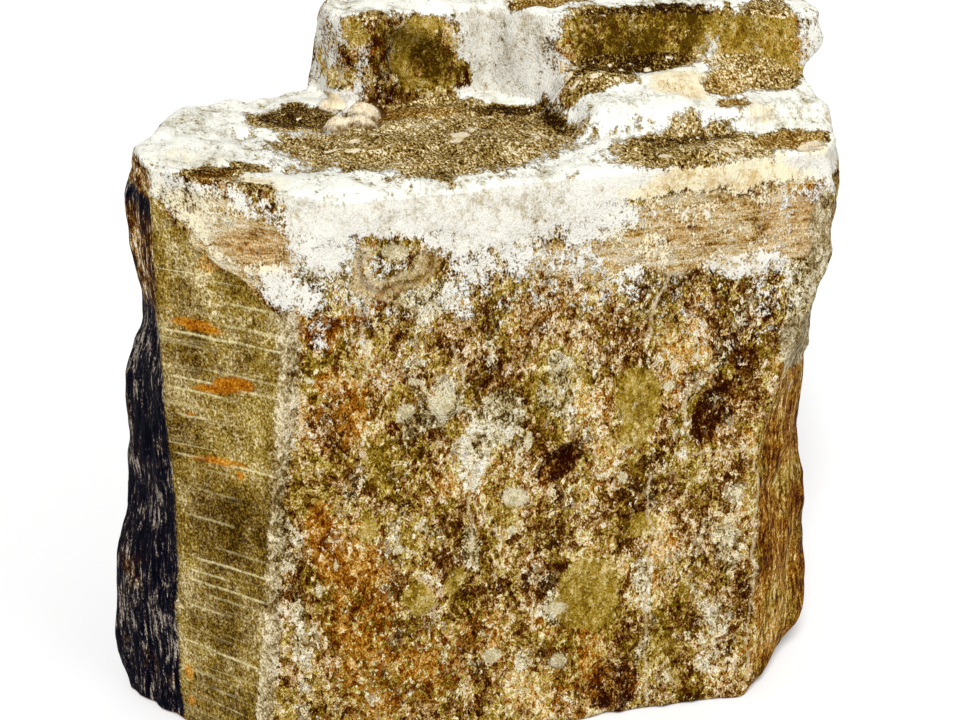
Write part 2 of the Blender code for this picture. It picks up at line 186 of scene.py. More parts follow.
def post_curve(height, heights, values):
    """Cubic curve through the post's values: slopes are averaged, and level at each turn."""
    heights = np.asarray(heights, float)
    values = np.asarray(values, float)
    steps = np.diff(values) / np.diff(heights)
    turns = steps[1:] * steps[:-1] <= 0
    inner = np.where(turns, 0, (steps[1:] + steps[:-1]) / 2)
    slopes = np.concatenate([steps[:1], inner, steps[-1:]])
    height = np.clip(height, heights[0], heights[-1])
    i = np.clip(np.searchsorted(heights, height, side="right") - 1, 0, len(steps) - 1)
    span = heights[i + 1] - heights[i]
    s = (height - heights[i]) / span
    start = (2 * s**3 - 3 * s**2 + 1) * values[i] + (s**3 - 2 * s**2 + s) * span * slopes[i]
    end = (3 * s**2 - 2 * s**3) * values[i + 1] + (s**3 - s**2) * span * slopes[i + 1]
    return start + end


def side_point(side, along, height):
    """x and y on a side: straight between its two nearest posts, at each height."""
    chain = SIDES[side]
    share = np.array([s for _, s in chain])
    i = np.clip(np.searchsorted(share, along, side="right") - 1, 0, len(chain) - 2)
    local = (along - share[i]) / (share[i + 1] - share[i])
    curves = []
    for name, _ in chain:
        heights, xs, ys = POSTS[name]
        curves.append([post_curve(height, heights, xs), post_curve(height, heights, ys)])
    curves = np.moveaxis(np.array(curves), 1, -1)
    pick = np.arange(len(chain)).reshape((-1,) + (1,) * np.ndim(local))
    first = np.sum(np.where((pick == i)[..., None], curves, 0), axis=0)
    second = np.sum(np.where((pick == i + 1)[..., None], curves, 0), axis=0)
    return first + (second - first) * local[..., None]


def scrambled(corner, seed):
    """A random value from 0 to 1 for each whole-numbered corner."""
    x, y, z = np.moveaxis(corner, -1, 0)
    mixed = (x * 374761393 + y * 668265263 + z * 2147483647 + seed * 1274126177) & 0xFFFFFFFF
    mixed = ((mixed ^ (mixed >> 13)) * 1274126177) & 0xFFFFFFFF
    return (mixed ^ (mixed >> 16)) / 0xFFFFFFFF


def lattice_noise(points, seed):
    """Smooth random values from -1 to 1: the eight corners around a point, blended by its place."""
    corner = np.floor(points).astype(np.int64)
    inside = points - corner
    inside = inside**3 * (inside * (inside * 6 - 15) + 10)
    total = 0
    for step in np.ndindex(2, 2, 2):
        weight = np.prod(np.where(step, inside, 1 - inside), axis=-1)
        total = total + scrambled(corner + step, seed) * weight
    return total * 2 - 1


def layered_noise(points, size, layers, seed):
    """Sum of noises, each layer half the size and half the strength of the one before."""
    total, reach = 0, 0
    for layer in range(layers):
        finer = points / size * 2.03**layer + 17.1 * layer
        total = total + lattice_noise(finer, seed + layer) / 2**layer
        reach += 1 / 2**layer
    return total / reach


def top_height(x, y):
    """Height of the stepped top: ledge with dish and swell, and the highest of riser and terraces."""
    plan = np.stack([x, y, np.zeros_like(x)], axis=-1)
    behind = y + layered_noise(plan, WAVE_SIZE, 3, seed=5) * WAVE_REACH
    aside = x + layered_noise(plan, RIPPLE_SIZE, 3, seed=9) * RIPPLE_REACH
    off_middle = (plan[..., :2] - DISH_MIDDLE) / DISH_HALF_WIDTHS
    dish = DISH_DEPTH * eased(1 - np.linalg.norm(off_middle, axis=-1))
    swell = SWELL_RISE * eased((SWELL_FROM_X - x) / SWELL_RUN)
    riser = eased((behind - np.interp(x, RISER_X, RISER_Y)) / RISER_RUN)
    step = np.minimum(riser, eased((aside - STEP_LEFT_END) / STEP_LEFT_RUN)) * STEP_HEIGHT
    crest = eased((behind - np.interp(x, CREST_X, CREST_Y)) / CREST_RUN)
    terraces = FRONT_TERRACE_HEIGHT + CREST_RISE * crest
    for foot, run, rise in TERRACES:
        terraces = terraces + rise * eased((behind - foot) / run)
    past_ledge = eased((aside - np.interp(y, LEDGE_END_Y, LEDGE_END_X)) / LEDGE_END_RUN)
    above_ledge = np.maximum(np.maximum(step, past_ledge * terraces), swell - dish)
    return LEDGE_HEIGHT + above_ledge + layered_noise(plan, TOP_ROUGH_SIZE, 3, seed=21) * TOP_ROUGH_DEPTH


def rim_height(side, along):
    """Height of the top edge over a point of a side, where the outline itself leans a little."""
    shares, which = np.unique(along, return_inverse=True)
    height = np.full(len(shares), LEDGE_HEIGHT)
    for _ in range(4):
        x, y = side_point(side, shares, height).T
        height = top_height(x, y)
    return height[which].reshape(np.shape(along))


def cap_plan(u, v, height_of):
    """x and y inside the outline: its four sides blended across, less the blend of its corners."""
    zero, one = np.zeros_like(u), np.ones_like(u)

    def edge(side, along):
        return side_point(side, along, height_of(side, along))

    u2, v2 = u[..., None], v[..., None]
    between = (1 - v2) * edge("front", u) + v2 * edge("back", u)
    across = (1 - u2) * edge("left", v) + u2 * edge("right", v)
    corners = (
        (1 - u2) * (1 - v2) * edge("front", zero)
        + u2 * (1 - v2) * edge("front", one)
        + (1 - u2) * v2 * edge("back", zero)
        + u2 * v2 * edge("back", one)
    )
    return between + across - corners


def even_rows(samples=241):
    """For each column, the v of each row that spaces the rows evenly along the stepped top."""
    fine = np.linspace(0, 1, samples)
    u, v = np.meshgrid(np.linspace(0, 1, NET_ACROSS + 1), fine, indexing="ij")
    plan = cap_plan(u, v, rim_height)
    surface = np.dstack([plan, top_height(plan[..., 0], plan[..., 1])])
    lengths = np.cumsum(np.linalg.norm(np.diff(surface, axis=1), axis=2), axis=1)
    share = np.linspace(0, 1, NET_DEEP + 1)
    rows = np.array([np.interp(share * row[-1], np.r_[0, row], fine) for row in lengths])
    reach = int(3 * ROW_SOFTENING)
    bell = np.exp(-0.5 * (np.arange(-reach, reach + 1) / ROW_SOFTENING) ** 2)
    padded = np.pad(rows, ((reach, reach), (0, 0)), mode="edge")
    return sum(w * padded[i : i + len(rows)] for i, w in enumerate(bell / bell.sum()))


def quads(numbers):
    """Corner numbers of the faces of a grid of point numbers."""
    first, last = numbers[:-1], numbers[1:]
    return np.stack([first[:, :-1], last[:, :-1], last[:, 1:], first[:, 1:]], -1).reshape(-1, 4)


def closed_net():
    """Faces of a box-shaped net, and each point's cell counts along X, Y and Z.

    The wall is a grid of rows that go round the outline. The top and the base are grids whose rims
    are the wall's last and first rows, so the net is closed.
    """
    corners = np.array([(0, 0), (NET_ACROSS, 0), (NET_ACROSS, NET_DEEP), (0, NET_DEEP), (0, 0)])
    ring = []
    for start, end in zip(corners, corners[1:]):
        steps = np.arange(abs(end - start).sum())
        ring.append(start + np.outer(steps, np.sign(end - start)))
    ring_u, ring_v = np.vstack(ring).T
    wall = np.arange((NET_TALL + 1) * len(ring_u)).reshape(NET_TALL + 1, -1)
    inner = (NET_ACROSS - 1) * (NET_DEEP - 1)
    caps = []
    for start, rim in ((wall.size, wall[0]), (wall.size + inner, wall[-1])):
        cap = np.empty((NET_ACROSS + 1, NET_DEEP + 1), int)
        cap[ring_u, ring_v] = rim
        cap[1:-1, 1:-1] = start + np.arange(inner).reshape(NET_ACROSS - 1, NET_DEEP - 1)
        caps.append(cap)
    inner_u, inner_v = np.meshgrid(np.arange(1, NET_ACROSS), np.arange(1, NET_DEEP), indexing="ij")
    u = np.r_[np.tile(ring_u, NET_TALL + 1), np.tile(inner_u.ravel(), 2)]
    v = np.r_[np.tile(ring_v, NET_TALL + 1), np.tile(inner_v.ravel(), 2)]
    w = np.r_[np.repeat(np.arange(NET_TALL + 1), len(ring_u)), np.repeat([0, NET_TALL], inner)]
    around = np.column_stack([wall, wall[:, 0]])
    faces = np.vstack([quads(around)[:, ::-1], quads(caps[0])[:, ::-1], quads(caps[1])])
    return faces, (u, v, w)


def place_on_stone(counts):
    """Points of the net on the block's surface: sides along the posts, top and base as caps."""
    column, row, tall = counts
    u, v, w = column / NET_ACROSS, even_rows()[column, row], tall / NET_TALL
    placed = np.zeros((len(u), 3))
    top, base = tall == NET_TALL, tall == 0
    placed[top, :2] = cap_plan(u[top], v[top], rim_height)
    placed[top, 2] = top_height(*placed[top, :2].T)
    placed[base, :2] = cap_plan(u[base], v[base], lambda side, along: np.zeros_like(along))
    on_sides = {
        "front": (row == 0, u),
        "back": (row == NET_DEEP, u),
        "left": (column == 0, v),
        "right": (column == NET_ACROSS, v),
    }
    for side, (here, along) in on_sides.items():
        height = w[here] * rim_height(side, along[here])
        placed[here] = np.column_stack([side_point(side, along[here], height), height])
    return placed


def averaged(values, faces, rounds, held=None):
    """Each round moves a value halfway to the mean of its neighbours along the net."""
    edges = np.vstack([faces[:, [0, 1]], faces[:, [1, 2]], faces[:, [2, 3]], faces[:, [3, 0]]])
    count = len(values)
    degree = np.bincount(edges[:, 0], minlength=count).reshape((-1,) + (1,) * (values.ndim - 1))
    for _ in range(rounds):
        columns = values.reshape(count, -1)
        sums = [np.bincount(edges[:, 0], column[edges[:, 1]], count) for column in columns.T]
        moved = (values + np.column_stack(sums).reshape(values.shape) / degree) / 2
        values = moved if held is None else np.where(held[:, None], values, moved)
    return values


def net_normals(points, faces):
    """Outward direction at each point: the sum of its faces' crossed diagonals, made unit long."""
    a, b, c, d = (points[faces[:, corner]] for corner in range(4))
    crossed = np.cross(c - a, d - b)
    total = np.zeros_like(points)
    for corner in faces.T:
        for axis in range(3):
            total[:, axis] += np.bincount(corner, crossed[:, axis], len(points))
    return total / np.linalg.norm(total, axis=1, keepdims=True)


def cut_edges(points):
    """Points beyond a cut plane move back onto it; the planes are a little uneven."""
    for number, (direction, through) in enumerate(CUT_PLANES.values()):
        normal = np.array(direction) / np.linalg.norm(direction)
        uneven = layered_noise(points, CUT_WAVE_SIZE, 3, seed=40 + number) * CUT_WAVE_DEPTH
        beyond = (points - through) @ normal - uneven
        points = points - np.maximum(beyond, 0)[:, None] * normal
    return points


def underside_lift(points):
    """How far the broken underside stands off the base plane: nothing on the flat spot."""
    past_flat = np.hypot(points[:, 0] / REST_HALF_X, points[:, 1] / REST_HALF_Y) - 1
    lift = UNDERSIDE_LIFT * (1 + layered_noise(points, UNDERSIDE_WAVE_SIZE, 3, seed=90))
    chips = UNDERSIDE_CHIPS * facets(points, CHIP_FACE_SIZE, seed=115)
    return eased(past_flat / LIFT_RUN) * (lift + chips)


# ---- Relief -----------------------------------------------------------------------------------

# Coarse roughness, as on the CAD: size of its lumps and how far they stand out or in.
LUMP_SIZE, LUMP_DEPTH = 26.0, 1.6
KNOB_SIZE, KNOB_DEPTH = 11.0, 1.0
RIB_SIZE, RIB_DEPTH, RIB_STRETCH = 10.0, 1.3, 5.0
SAWN_SHARE = 0.15  # share of the coarse roughness that the sawn corner keeps

# Pits and hollows: place, half widths along x, y and z, and lean in the front's plane in degrees.
PITS = {
    "crack_hole": ((15, -50, 70.5), (6.4, 3.2, 2.7), -38),
    "shoulder_pit": ((-36.3, -50, 106), (4.2, 1.9, 3.6), 35),
    "front_hollow": ((49.5, -51, 78.5), (5, 1.7, 8), -12),
    "foot_hollow": ((28.5, -51, 11), (8, 1.8, 6), 0),
    "riser_niche": ((-5, 5.5, 147.5), (9.5, 2.6, 7.5), 0),
}
# Hard pale nodules that stand proud: place and half widths along x, y and z.
NODULES = {
    "ledge_nodule_left": ((-26, -4.6, 136.2), (3.4, 3, 2.6)),
    "ledge_nodule_right": ((-20.2, -5.4, 136), (3.2, 2.9, 2.5)),
    "riser_nodule_left": ((-25.2, 8.4, 139.2), (2.9, 2.8, 2.3)),
    "riser_nodule_right": ((-19.3, 1.6, 139.8), (4, 2.8, 2.9)),
    "front_nodule_left": ((-20, -49.6, 87), (3.6, 1, 3.4)),
    "front_nodule_right": ((-11.8, -49.6, 87), (4.3, 1.1, 3.9)),
    "front_nodule_middle": ((5.4, -49.6, 61.6), (3.4, 1.2, 2.5)),
    "front_nodule_low": ((-16.6, -49.6, 37.2), (3.8, 1.1, 3.9)),
    "foot_nodule": ((15.5, -49.6, 17.4), (2.5, 1, 2.8)),
}

# Fine relief: size and depth of each kind.
CHIP_FACE_SIZE, CHIP_FACE_DEPTH = 5.0, 0.9  # broken facets of the rough faces
GRAIN_SIZE, GRAIN_DEPTH, GRAIN_STRETCH = 2.6, 0.45, 1.7
FIBRE_SIZE, FIBRE_DEPTH, FIBRE_STRETCH = 2.4, 0.55, 9.0  # splintered sides
SPLINTER_SIZE, SPLINTER_DEPTH, SPLINTER_STRETCH = 6.0, 1.5, 7.0  # the dark left side
CRUST_SIZE, CRUST_DEPTH, CRUST_FROM_Z, CRUST_RUN = 6.0, 1.1, 118, 14  # lumps of the top
CHIPS_LOST_TO_FIBRES, CHIPS_LOST_ON_SAND = 0.6, 0.65  # shares of chips and grain
MEAN_FACET = 0.55
POWDER_THICKNESS, POWDER_FROM, POWDER_RUN = 0.35, 0.3, 0.4
VEIN_RISE = 0.12
# Pits and nodules: how ragged their outlines are, how domed they are, how far off their own
# surface they still count, and the groove around a nodule, placed in half widths from its middle.
RAGGED_SIZE, PIT_RAGGED, NODULE_RAGGED = 4.0, 0.3, 0.14
DOME_POWER, FORM_REACH = 0.75, 8
GROOVE_DEPTH, GROOVE_PLACE, GROOVE_WIDTH = 0.35, 1.12, 0.12

# Saw marks on the chamfer: height, ends as shares of the way across, and strength of each. They
# waver, tilt across the corner and fade out at their ends.
SAW_WAVER, SAW_WAVE_SIZE, SAW_TILT, SAW_END_FADE = 0.35, 9.0, 1.2, 0.1
SAW_MARKS = (
    (9.6, 0.3, 0.75, 0.6), (16.5, 0.1, 0.4, 0.3), (23.7, 0.05, 0.95, 1), (34.2, 0.1, 0.5, 0.7),
    (38.2, 0.3, 0.9, 0.35), (40.9, 0.1, 0.95, 0.9), (43.4, 0.05, 0.5, 0.8), (47, 0.2, 0.95, 0.9),
    (51, 0.4, 0.9, 0.4), (57.8, 0.1, 0.55, 0.5), (65, 0.2, 0.6, 0.3), (72.7, 0.05, 0.95, 0.9),
    (82.8, 0.1, 0.35, 0.7), (88.9, 0.05, 0.5, 0.8), (91.3, 0.05, 1, 1), (94.3, 0.35, 0.85, 0.7),
    (102.4, 0, 1, 0.9), (105.7, 0.5, 1, 0.6), (111, 0.55, 1, 0.7), (116.5, 0, 0.6, 1),
)


def rotated(across, up, lean):
    """Plane coordinates turned by `lean` degrees."""
    turn = math.radians(lean)
    return (
        across * math.cos(turn) + up * math.sin(turn),
        up * math.cos(turn) - across * math.sin(turn),
    )


def small_forms(points, normals):
    """Pits sink and nodules rise as domes: depth times (1 - r^2) to the power DOME_POWER."""
    moved = np.zeros(len(points))
    ragged = layered_noise(points, RAGGED_SIZE, 3, seed=95)
    for forms, sign, raggedness in ((PITS, -1, PIT_RAGGED), (NODULES, 1, NODULE_RAGGED)):
        for place, half_widths, *lean in forms.values():
            nearest = np.argmin(np.linalg.norm(points - place, axis=1))
            normal = normals[nearest]
            offset = points - points[nearest]
            depth = (offset @ normal)[:, None] * normal
            offset = offset - depth
            offset[:, 0], offset[:, 2] = rotated(offset[:, 0], offset[:, 2], -lean[0] if lean else 0)
            r = np.linalg.norm(offset / half_widths, axis=1) * (1 + raggedness * ragged)
            near = np.abs(depth).max(axis=1) < FORM_REACH
            tall = abs(np.array(half_widths) @ np.abs(normal))
            moved += sign * tall * np.clip(1 - r**2, 0, 1) ** DOME_POWER * near
            if sign > 0:
                moved -= GROOVE_DEPTH * np.exp(-(((r - GROOVE_PLACE) / GROOVE_WIDTH) ** 2)) * near
    return moved


def facets(points, size, seed):
    """Broken facets: the distance to the nearest of points scattered one to a cell, 0 to about 1."""
    scaled = points / size
    cell = np.floor(scaled).astype(np.int64)
    nearest = np.full(len(points), np.inf)
    for step in np.ndindex(3, 3, 3):
        corner = cell + step - 1
        scatter = np.stack([scrambled(corner, seed + axis) for axis in range(3)], -1)
        nearest = np.minimum(nearest, np.linalg.norm(corner + scatter - scaled, axis=1))
    return nearest


def relief(points, normals, zones):
    """How far each point moves along its normal: coarse and fine roughness by zone, and features."""

    def noise(size, layers, seed, stretch=1):
        return layered_noise(points / (1, 1, stretch), size, layers, seed)

    rough = 1 - zones["sawn"]
    splintered = np.maximum(zones["fibrous"], zones["dark_side"])
    coarse = noise(LUMP_SIZE, 3, 60) * LUMP_DEPTH + noise(KNOB_SIZE, 2, 70) * KNOB_DEPTH
    coarse = coarse + noise(RIB_SIZE, 2, 80, RIB_STRETCH) * RIB_DEPTH * splintered
    coarse = coarse * (SAWN_SHARE + (1 - SAWN_SHARE) * rough)
    chips = (facets(points, CHIP_FACE_SIZE, seed=110) - MEAN_FACET) * CHIP_FACE_DEPTH
    grain = noise(GRAIN_SIZE, 2, 120, GRAIN_STRETCH) * GRAIN_DEPTH
    fibres = noise(FIBRE_SIZE, 2, 130, FIBRE_STRETCH) * FIBRE_DEPTH
    splinters = noise(SPLINTER_SIZE, 2, 140, SPLINTER_STRETCH) * SPLINTER_DEPTH * zones["dark_side"]
    chipped = rough * (1 - CHIPS_LOST_TO_FIBRES * splintered) * (1 - CHIPS_LOST_ON_SAND * zones["sand"])
    fine = (chips + grain) * chipped + fibres * splintered + splinters
    crust = noise(CRUST_SIZE, 3, 125) * CRUST_DEPTH * rise(points[:, 2], CRUST_FROM_Z, CRUST_RUN)
    powder = POWDER_THICKNESS * rise(zones["powder"], POWDER_FROM, POWDER_RUN)
    veins = VEIN_RISE * zones["vein_mark"]
    return coarse + fine + crust + powder + veins + small_forms(points, normals)


# ---- Zones ------------------------------------------------------------------------------------

# The sawn corner ends at a slanting line below the rim: its height at an x, and its fall along x.
SAWN_TOP, SAWN_TOP_X, SAWN_FALL, SAWN_FADE = 130.0, -70, 0.75, 4
# The splintered right side ends in an arch: its height behind the edge, and its fall at the far end.
SIDE_TOP, SIDE_TOP_FALL, ARCH_WANDER = 84.0, 10.0, 3
# Shares of a side's length: the arch, the end that looks like the front, and the dark left part.
ARCH_SHARE, FRONT_END_SHARE, LEFT_SHARE = 0.25, 0.22, 0.62
# Borders of zones, each as where it starts or ends and how far it takes to fade.
DARK_SIDE_TOP, BROWN_SIDE_FOOT, BROWN_SIDE_TOP = (133, 8), (96, 14), (128, 8)
EDGE_STRIP_TOP, RISER_FOOT, BACK_FROM = (116, 8), (137.5, 2), (5, 20)
LESS_FIBROUS_FROM, SHADED_FROM_X = (10, 25), (60, 10)
RISER_END_X = 12
SHADED_Y, SHADED_HALF_WIDTH = -27, 7  # the shaded band behind the right edge
SIDE_LENGTH, STRIP_HALF_WIDTH = 180, 3.6  # the pale strip down the edge of the sawn corner
# How far the borders wander, in waves of what size.
WANDER_SIZE, WANDER_REACH, FAR_SIZE, FAR_REACH = 8.0, 2.2, 16.0, 2.5
# Powder below the front rim: a whole strip, a scatter that thins out downwards, and patches.
STRIP_STRENGTH, STRIP_FOOT_Z, STRIP_FOOT_RISE, STRIP_FADE = 1.25, 124, 4, 5
STRIP_START_X, STRIP_RISE_X = (-46, 4), (18, 12)
SCATTER_LEAST, SCATTER_MORE = 0.14, 0.22
SCATTER_START_Z, SCATTER_MORE_Z, SCATTER_MORE_X, SCATTER_END_X = (84, 14), (98, 16), (-50, 10), (66, 6)
PATCH_STRENGTH, PATCH_SOFTNESS = 0.95, 1.1

# Patches of each painted zone: middle, half widths, then strength and lean in degrees, which are
# 1 and 0 where they are left out. The middles are x and z on the front and on the riser, the steep
# face behind the ledge, and x and y on the top. Softness is the share of a half width over which
# a patch fades.
PAINTED = {
    "rust": {
        "softness": 0.8,
        "front": (
            (-38, 55, 4, 11, 1, 8), (-30, 40, 8, 15, 0.7), (-22, 18, 14, 12, 0.6),
            (-34, 90, 5, 9, 0.5, 20), (-27, 111, 9, 2.4, 0.8, 25), (-37, 106, 5, 5, 0.8),
            (68, 122, 8, 7, 0.7, -20), (44, 121, 7, 3, 0.5, -15), (-50.5, 124.5, 7, 4, 1, -15),
            (20, 20, 8, 16, 0.4), (-2, 26, 6, 12, 0.35),
        ),
        "riser": ((-13.5, 150.5, 2.2, 2.6, 0.6), (-8, 142, 4, 4, 0.5)),
        "top": (
            (71, -10, 9, 10, 0.4), (62, -15, 6, 5, 0.6), (70, -38, 8, 5), (-57, -37, 6, 2, 0.6, 20),
            (-8, -1, 12, 5, 0.8), (60, -24, 4, 2.5), (25, 11, 10, 4, 0.6),
        ),
    },
    "gold": {
        "softness": 0.3,
        "front": (
            (33, 82, 5.5, 9.5, 1, -8), (22.5, 34, 7.5, 10.5, 1, 4), (-28.4, 58, 1.8, 4, 0.8),
            (35.3, 51.5, 3, 2.8), (-17.5, 38.7, 3, 4, 1, 15), (-9, 42, 2.4, 4, 0.8), (16, 88, 7, 8, 0.6),
            (-28, 20, 7, 10, 0.5), (38, 20, 3, 14, 0.5), (-24, 72, 4, 8, 0.5),
        ),
        "riser": (
            (-4.5, 151.5, 5.5, 3.4), (-1, 144, 9, 8, 0.8), (-18.5, 153.5, 3, 2), (-23, 142, 4, 2, 0.6),
        ),
        "top": (
            (-14, -10, 14, 8, 0.8), (46, -1, 18, 10, 0.9), (-35, 3, 8, 8, 0.9), (70, -8, 10, 12, 0.75),
        ),
    },
    # Dark patches are partly dark stone and partly painted shade. Those over the pits and hollows (crack
    # hole, shoulder pit, front and foot hollows, riser niche) darken them where shade falls.
    "dark": {
        "softness": 0.6,
        "front": (
            (51, 78, 4.5, 8.5, 0.9, -12), (55, 92, 7, 4, 0.5, -30), (-11, 46, 2, 6, 0.6),
            (11, 40, 5, 6, 0.6), (28.5, 8, 8, 7, 0.7), (-23, 82, 1.8, 2), (3, 104, 10, 9, 0.35),
            (-36, 82, 5, 8, 0.5, 10), (-37, 106.5, 4.5, 3.6, 0.9, 35), (30, 99, 9, 6, 0.35),
            (50, 55, 8, 9, 0.35), (15, 70.3, 7, 3.4, 1, 38), (57, 30, 5, 16, 0.35),
        ),
        "riser": ((0, 145.5, 4.5, 6), (6, 141, 2.2, 4), (-21.5, 147.5, 1.6, 1.8, 0.8)),
        "top": (
            (45, 0, 17, 7, 1, 6), (33, -4, 7, 4, 0.8), (22, -13, 2.6, 11, 1, 8), (13, -2, 8, 2.4),
            (-35, 3, 9, 8, 0.9), (-16.5, 2.1, 2.4, 2.6), (-57, -36, 7, 2.4, 0.6, 25),
            (46, -34, 15, 3, 0.6),
        ),
    },
    "pale": {
        "softness": 0.8,
        "front": (
            (0.5, 82, 8, 7, 1, 15), (-5, 72, 4, 7, 0.8), (-14, 86, 9, 7, 0.6), (-5, 52, 2.5, 7, 0.7),
            (15, 31, 4, 4, 0.7), (16, 88, 6, 8, 0.5), (-13, 112, 12, 4, 0.7, 25), (-33, 120, 12, 5, 0.7),
            (44, 72, 2.5, 8, 0.5), (53, 22, 6, 20, 0.35), (71, 102, 5, 20, 1, 8),
            (-46, 60, 2.5, 50, 0.5, 3), (-54, 125, 12, 6, 0.9, -30), (-58, 131, 12, 3, 0.9, -10),
            (36.5, 30, 2, 30, 0.5), (-20, 60, 6, 6, 0.3),
        ),
    },
    "cream": {
        "softness": 0.7,
        "front": ((50, 131, 20, 5, 1.4), (-56, 127, 14, 6, 1, -30), (45, 120, 20, 6, 0.8)),
        "top": (
            (51, -14, 9, 6), (54, -47.5, 16, 4, 1.5), (66, -26, 6, 3, 0.7), (-60, -28, 10, 6, 0.5),
            (73, -43, 4, 3, 0.9), (-56, -44, 14, 6, 1, 25),
        ),
    },
    "streaky": {
        "softness": 0.6,
        "front": ((50, 121, 26, 9, 1, -3), (-52, 125, 12, 8, 1, -30), (22, 118, 14, 5, 0.7)),
    },
}
# The smooth pale strip down the right edge, above the arch.
PALE_EDGE = ((75.5, 107, 4.5, 20, 1, 4), (72, 91, 5, 9, 1, 25))
# Dark and rusty places on the sawn corner.
SAWN_DARK = ((-57, 57, 9, 11), (-60, 79, 10, 4, 0.5), (-60, 12, 9, 5, 0.5), (-66, 100, 5, 10, 0.4))
SAWN_STAINS = (
    (-62.5, 104.6, 6, 1.6, 0.85, -6), (-60, 90.5, 5, 0.9, 0.9), (-55.5, 92.3, 4.5, 1.8, 1, 4),
    (-65.2, 83.3, 1.2, 0.8, 0.9), (-59.5, 73.2, 6, 0.9, 0.95, 4), (-55.6, 71, 1.2, 1, 0.9),
    (-68.9, 15.2, 1.2, 2.4, 0.8), (-68.7, 7.7, 1, 1.6, 0.8), (-57, 121, 6, 2.5, 0.6, 30),
)
# Chalky flecks and nodules on the front: middle (x, z) and half widths.
FRONT_CHALK = (
    (-19.5, 86, 2.2, 2.1), (-11.7, 87.6, 3.2, 3), (-17.5, 92.6, 1.6, 1), (-21.2, 123.2, 2.9, 1.9),
    (4.8, 62.4, 3.3, 2.3), (4.2, 53.7, 0.9, 1.9), (-21.6, 51.9, 1.4, 1.4), (-35.7, 49, 0.6, 1.9),
    (-39.7, 43, 0.8, 2.2), (15.1, 31.3, 2.9, 1.7), (55.7, 44.7, 1.5, 1.2), (24.3, 111, 1.2, 1.3),
    (41, 90.3, 1.1, 1), (45.9, 92.3, 1, 0.9), (49.4, 89.2, 1.1, 0.9), (39.9, 85.8, 1.7, 1.2),
    (0, 20, 2.4, 2.2), (15.5, 17.2, 2.2, 2.6), (-40, 95, 1.2, 1), (30, 64, 1.3, 1.6), (8, 76, 1.2, 2),
)
# Pale veins on the front: x and z of both ends, strength.
FRONT_VEINS = (
    (36.3, 63, 37, 40, 1), (37, 40, 36, 26, 0.8), (36, 26, 38, 2, 0.7), (44.4, 88, 44.8, 74, 0.6),
    (-8.5, 100, -6.4, 91.7, 0.9), (38.8, 112.4, 34.8, 97.8, 1), (-5, 70, -5, 47, 0.6),
    (-28.3, 106, -27.6, 96, 0.8), (47, 68.9, 61, 67.8, 1), (-33, 117, -15, 109, 1),
    (61.2, 64, 62.2, 34, 0.7), (62.2, 34, 62.6, 6, 0.6),
)
# Powder on the front, below the rim.
FRONT_POWDER = (
    (-36, 124, 9, 6, 0.85), (-43, 115.5, 8, 4.5, 0.85, -25), (-38, 106, 2.5, 7, 0.55), (-1, 126, 17, 6),
    (2, 119, 13, 5, 0.75), (-9, 112, 4, 6, 0.6, 20), (23, 126, 9, 6, 0.9), (19, 118, 8, 5, 0.6),
    (36, 118, 6, 5, 0.55), (31, 111, 10, 4, 0.55), (56, 113.5, 11, 3, 0.8, 4), (66, 106, 7, 5, 0.5, 30),
    (45, 126, 6, 2.5, 0.6), (74, 128, 5, 3, 0.8, 20), (60, 98, 6, 5, 0.4),
)
# Gaps in the powder: where the brown shelf of the top reaches the rim, and an ochre patch.
FRONT_BARE = ((46, 138.5, 16, 2.5), (-51, 125.5, 7.5, 4.5, 0.9, -20))
# Bare brown patches among the powder of the top, whose middles are x and y.
TOP_BARE = (
    (-8, -20, 32, 20, 1, -3), (-7, 2, 14, 9), (-36, 1, 9.5, 9), (-58, -38, 8.5, 4, 1, 25),
    (-48, -31.5, 5.5, 3.2, 0.95, 10), (-50, -42, 4.5, 2.4, 0.9), (16, -18, 9, 13), (12, -3, 9, 4),
    (46, 0, 19, 6, 1, -4), (33, -8, 9, 6, 1, 10), (71, -9, 9, 10, 0.95), (62, -15, 6, 5, 0.8),
    (47, -40, 18, 11), (70, -38, 8, 5.5), (27, 12, 10, 3.4), (60, -24, 4, 2.5, 0.8),
    (45, 30, 24, 10, 0.8, 10), (0, 38, 14, 8, 0.8, -15),
)
# The same on the steep face behind the ledge, whose middles are x and z.
RISER_BARE = (
    (-3.5, 147, 8.5, 9), (-20, 147, 9, 9, 0.34), (-3, 140, 10, 5), (6, 141, 2.8, 4.5, 0.95),
    (-18.5, 153.5, 3.6, 2.4, 0.8), (-21, 148, 3.6, 3.4, 0.65), (-13.5, 150.5, 2.4, 3, 0.75),
    (-23, 142, 4.8, 2.4, 0.9), (-10.5, 142.5, 3, 3.4, 0.9),
)
# Pebbles and chalky flecks on the top: middle (x, y) and half widths.
TOP_PEBBLES = ((-26, -4.6, 3.4, 3), (-20.2, -5.4, 3.2, 2.9), (-25.2, 8, 3, 3.4), (-19.3, 1.4, 4.1, 3))
TOP_CHALK = (
    (-23.9, -17, 1.5, 1.1), (-19, -13.5, 1.8, 1.2), (-30, -22, 1.8, 1), (-25.5, -24, 2, 1),
    (-0.8, -18.3, 2.4, 2.8), (2.5, -14.5, 1.6, 1.8), (-2.5, -22.5, 1.8, 1.6), (39.5, -43, 1.8, 1.4),
    (54, -43, 2.4, 1.2), (48, -41, 1, 0.9), (73, -42, 3.4, 2.6), (27.2, -5.8, 0.9, 1.1),
    (27.8, -10.2, 1.2, 0.9), (30.7, -4.7, 0.8, 0.8), (31.6, -10.5, 1.1, 1), (34.1, -8.6, 1, 0.7),
    (37.4, -3.2, 0.8, 1), (36.5, -12, 1, 0.9), (39.7, -5.3, 1, 1.1), (43.3, -2.5, 0.8, 0.8),
    (46.2, -4.7, 1, 1), (12, -24, 1.4, 1),
)
# The swirl below the rim: its middle (x, z) and half widths.
SWIRL_MIDDLE, SWIRL_HALF_WIDTHS = (-22.5, 122.5), (8.4, 7.6)


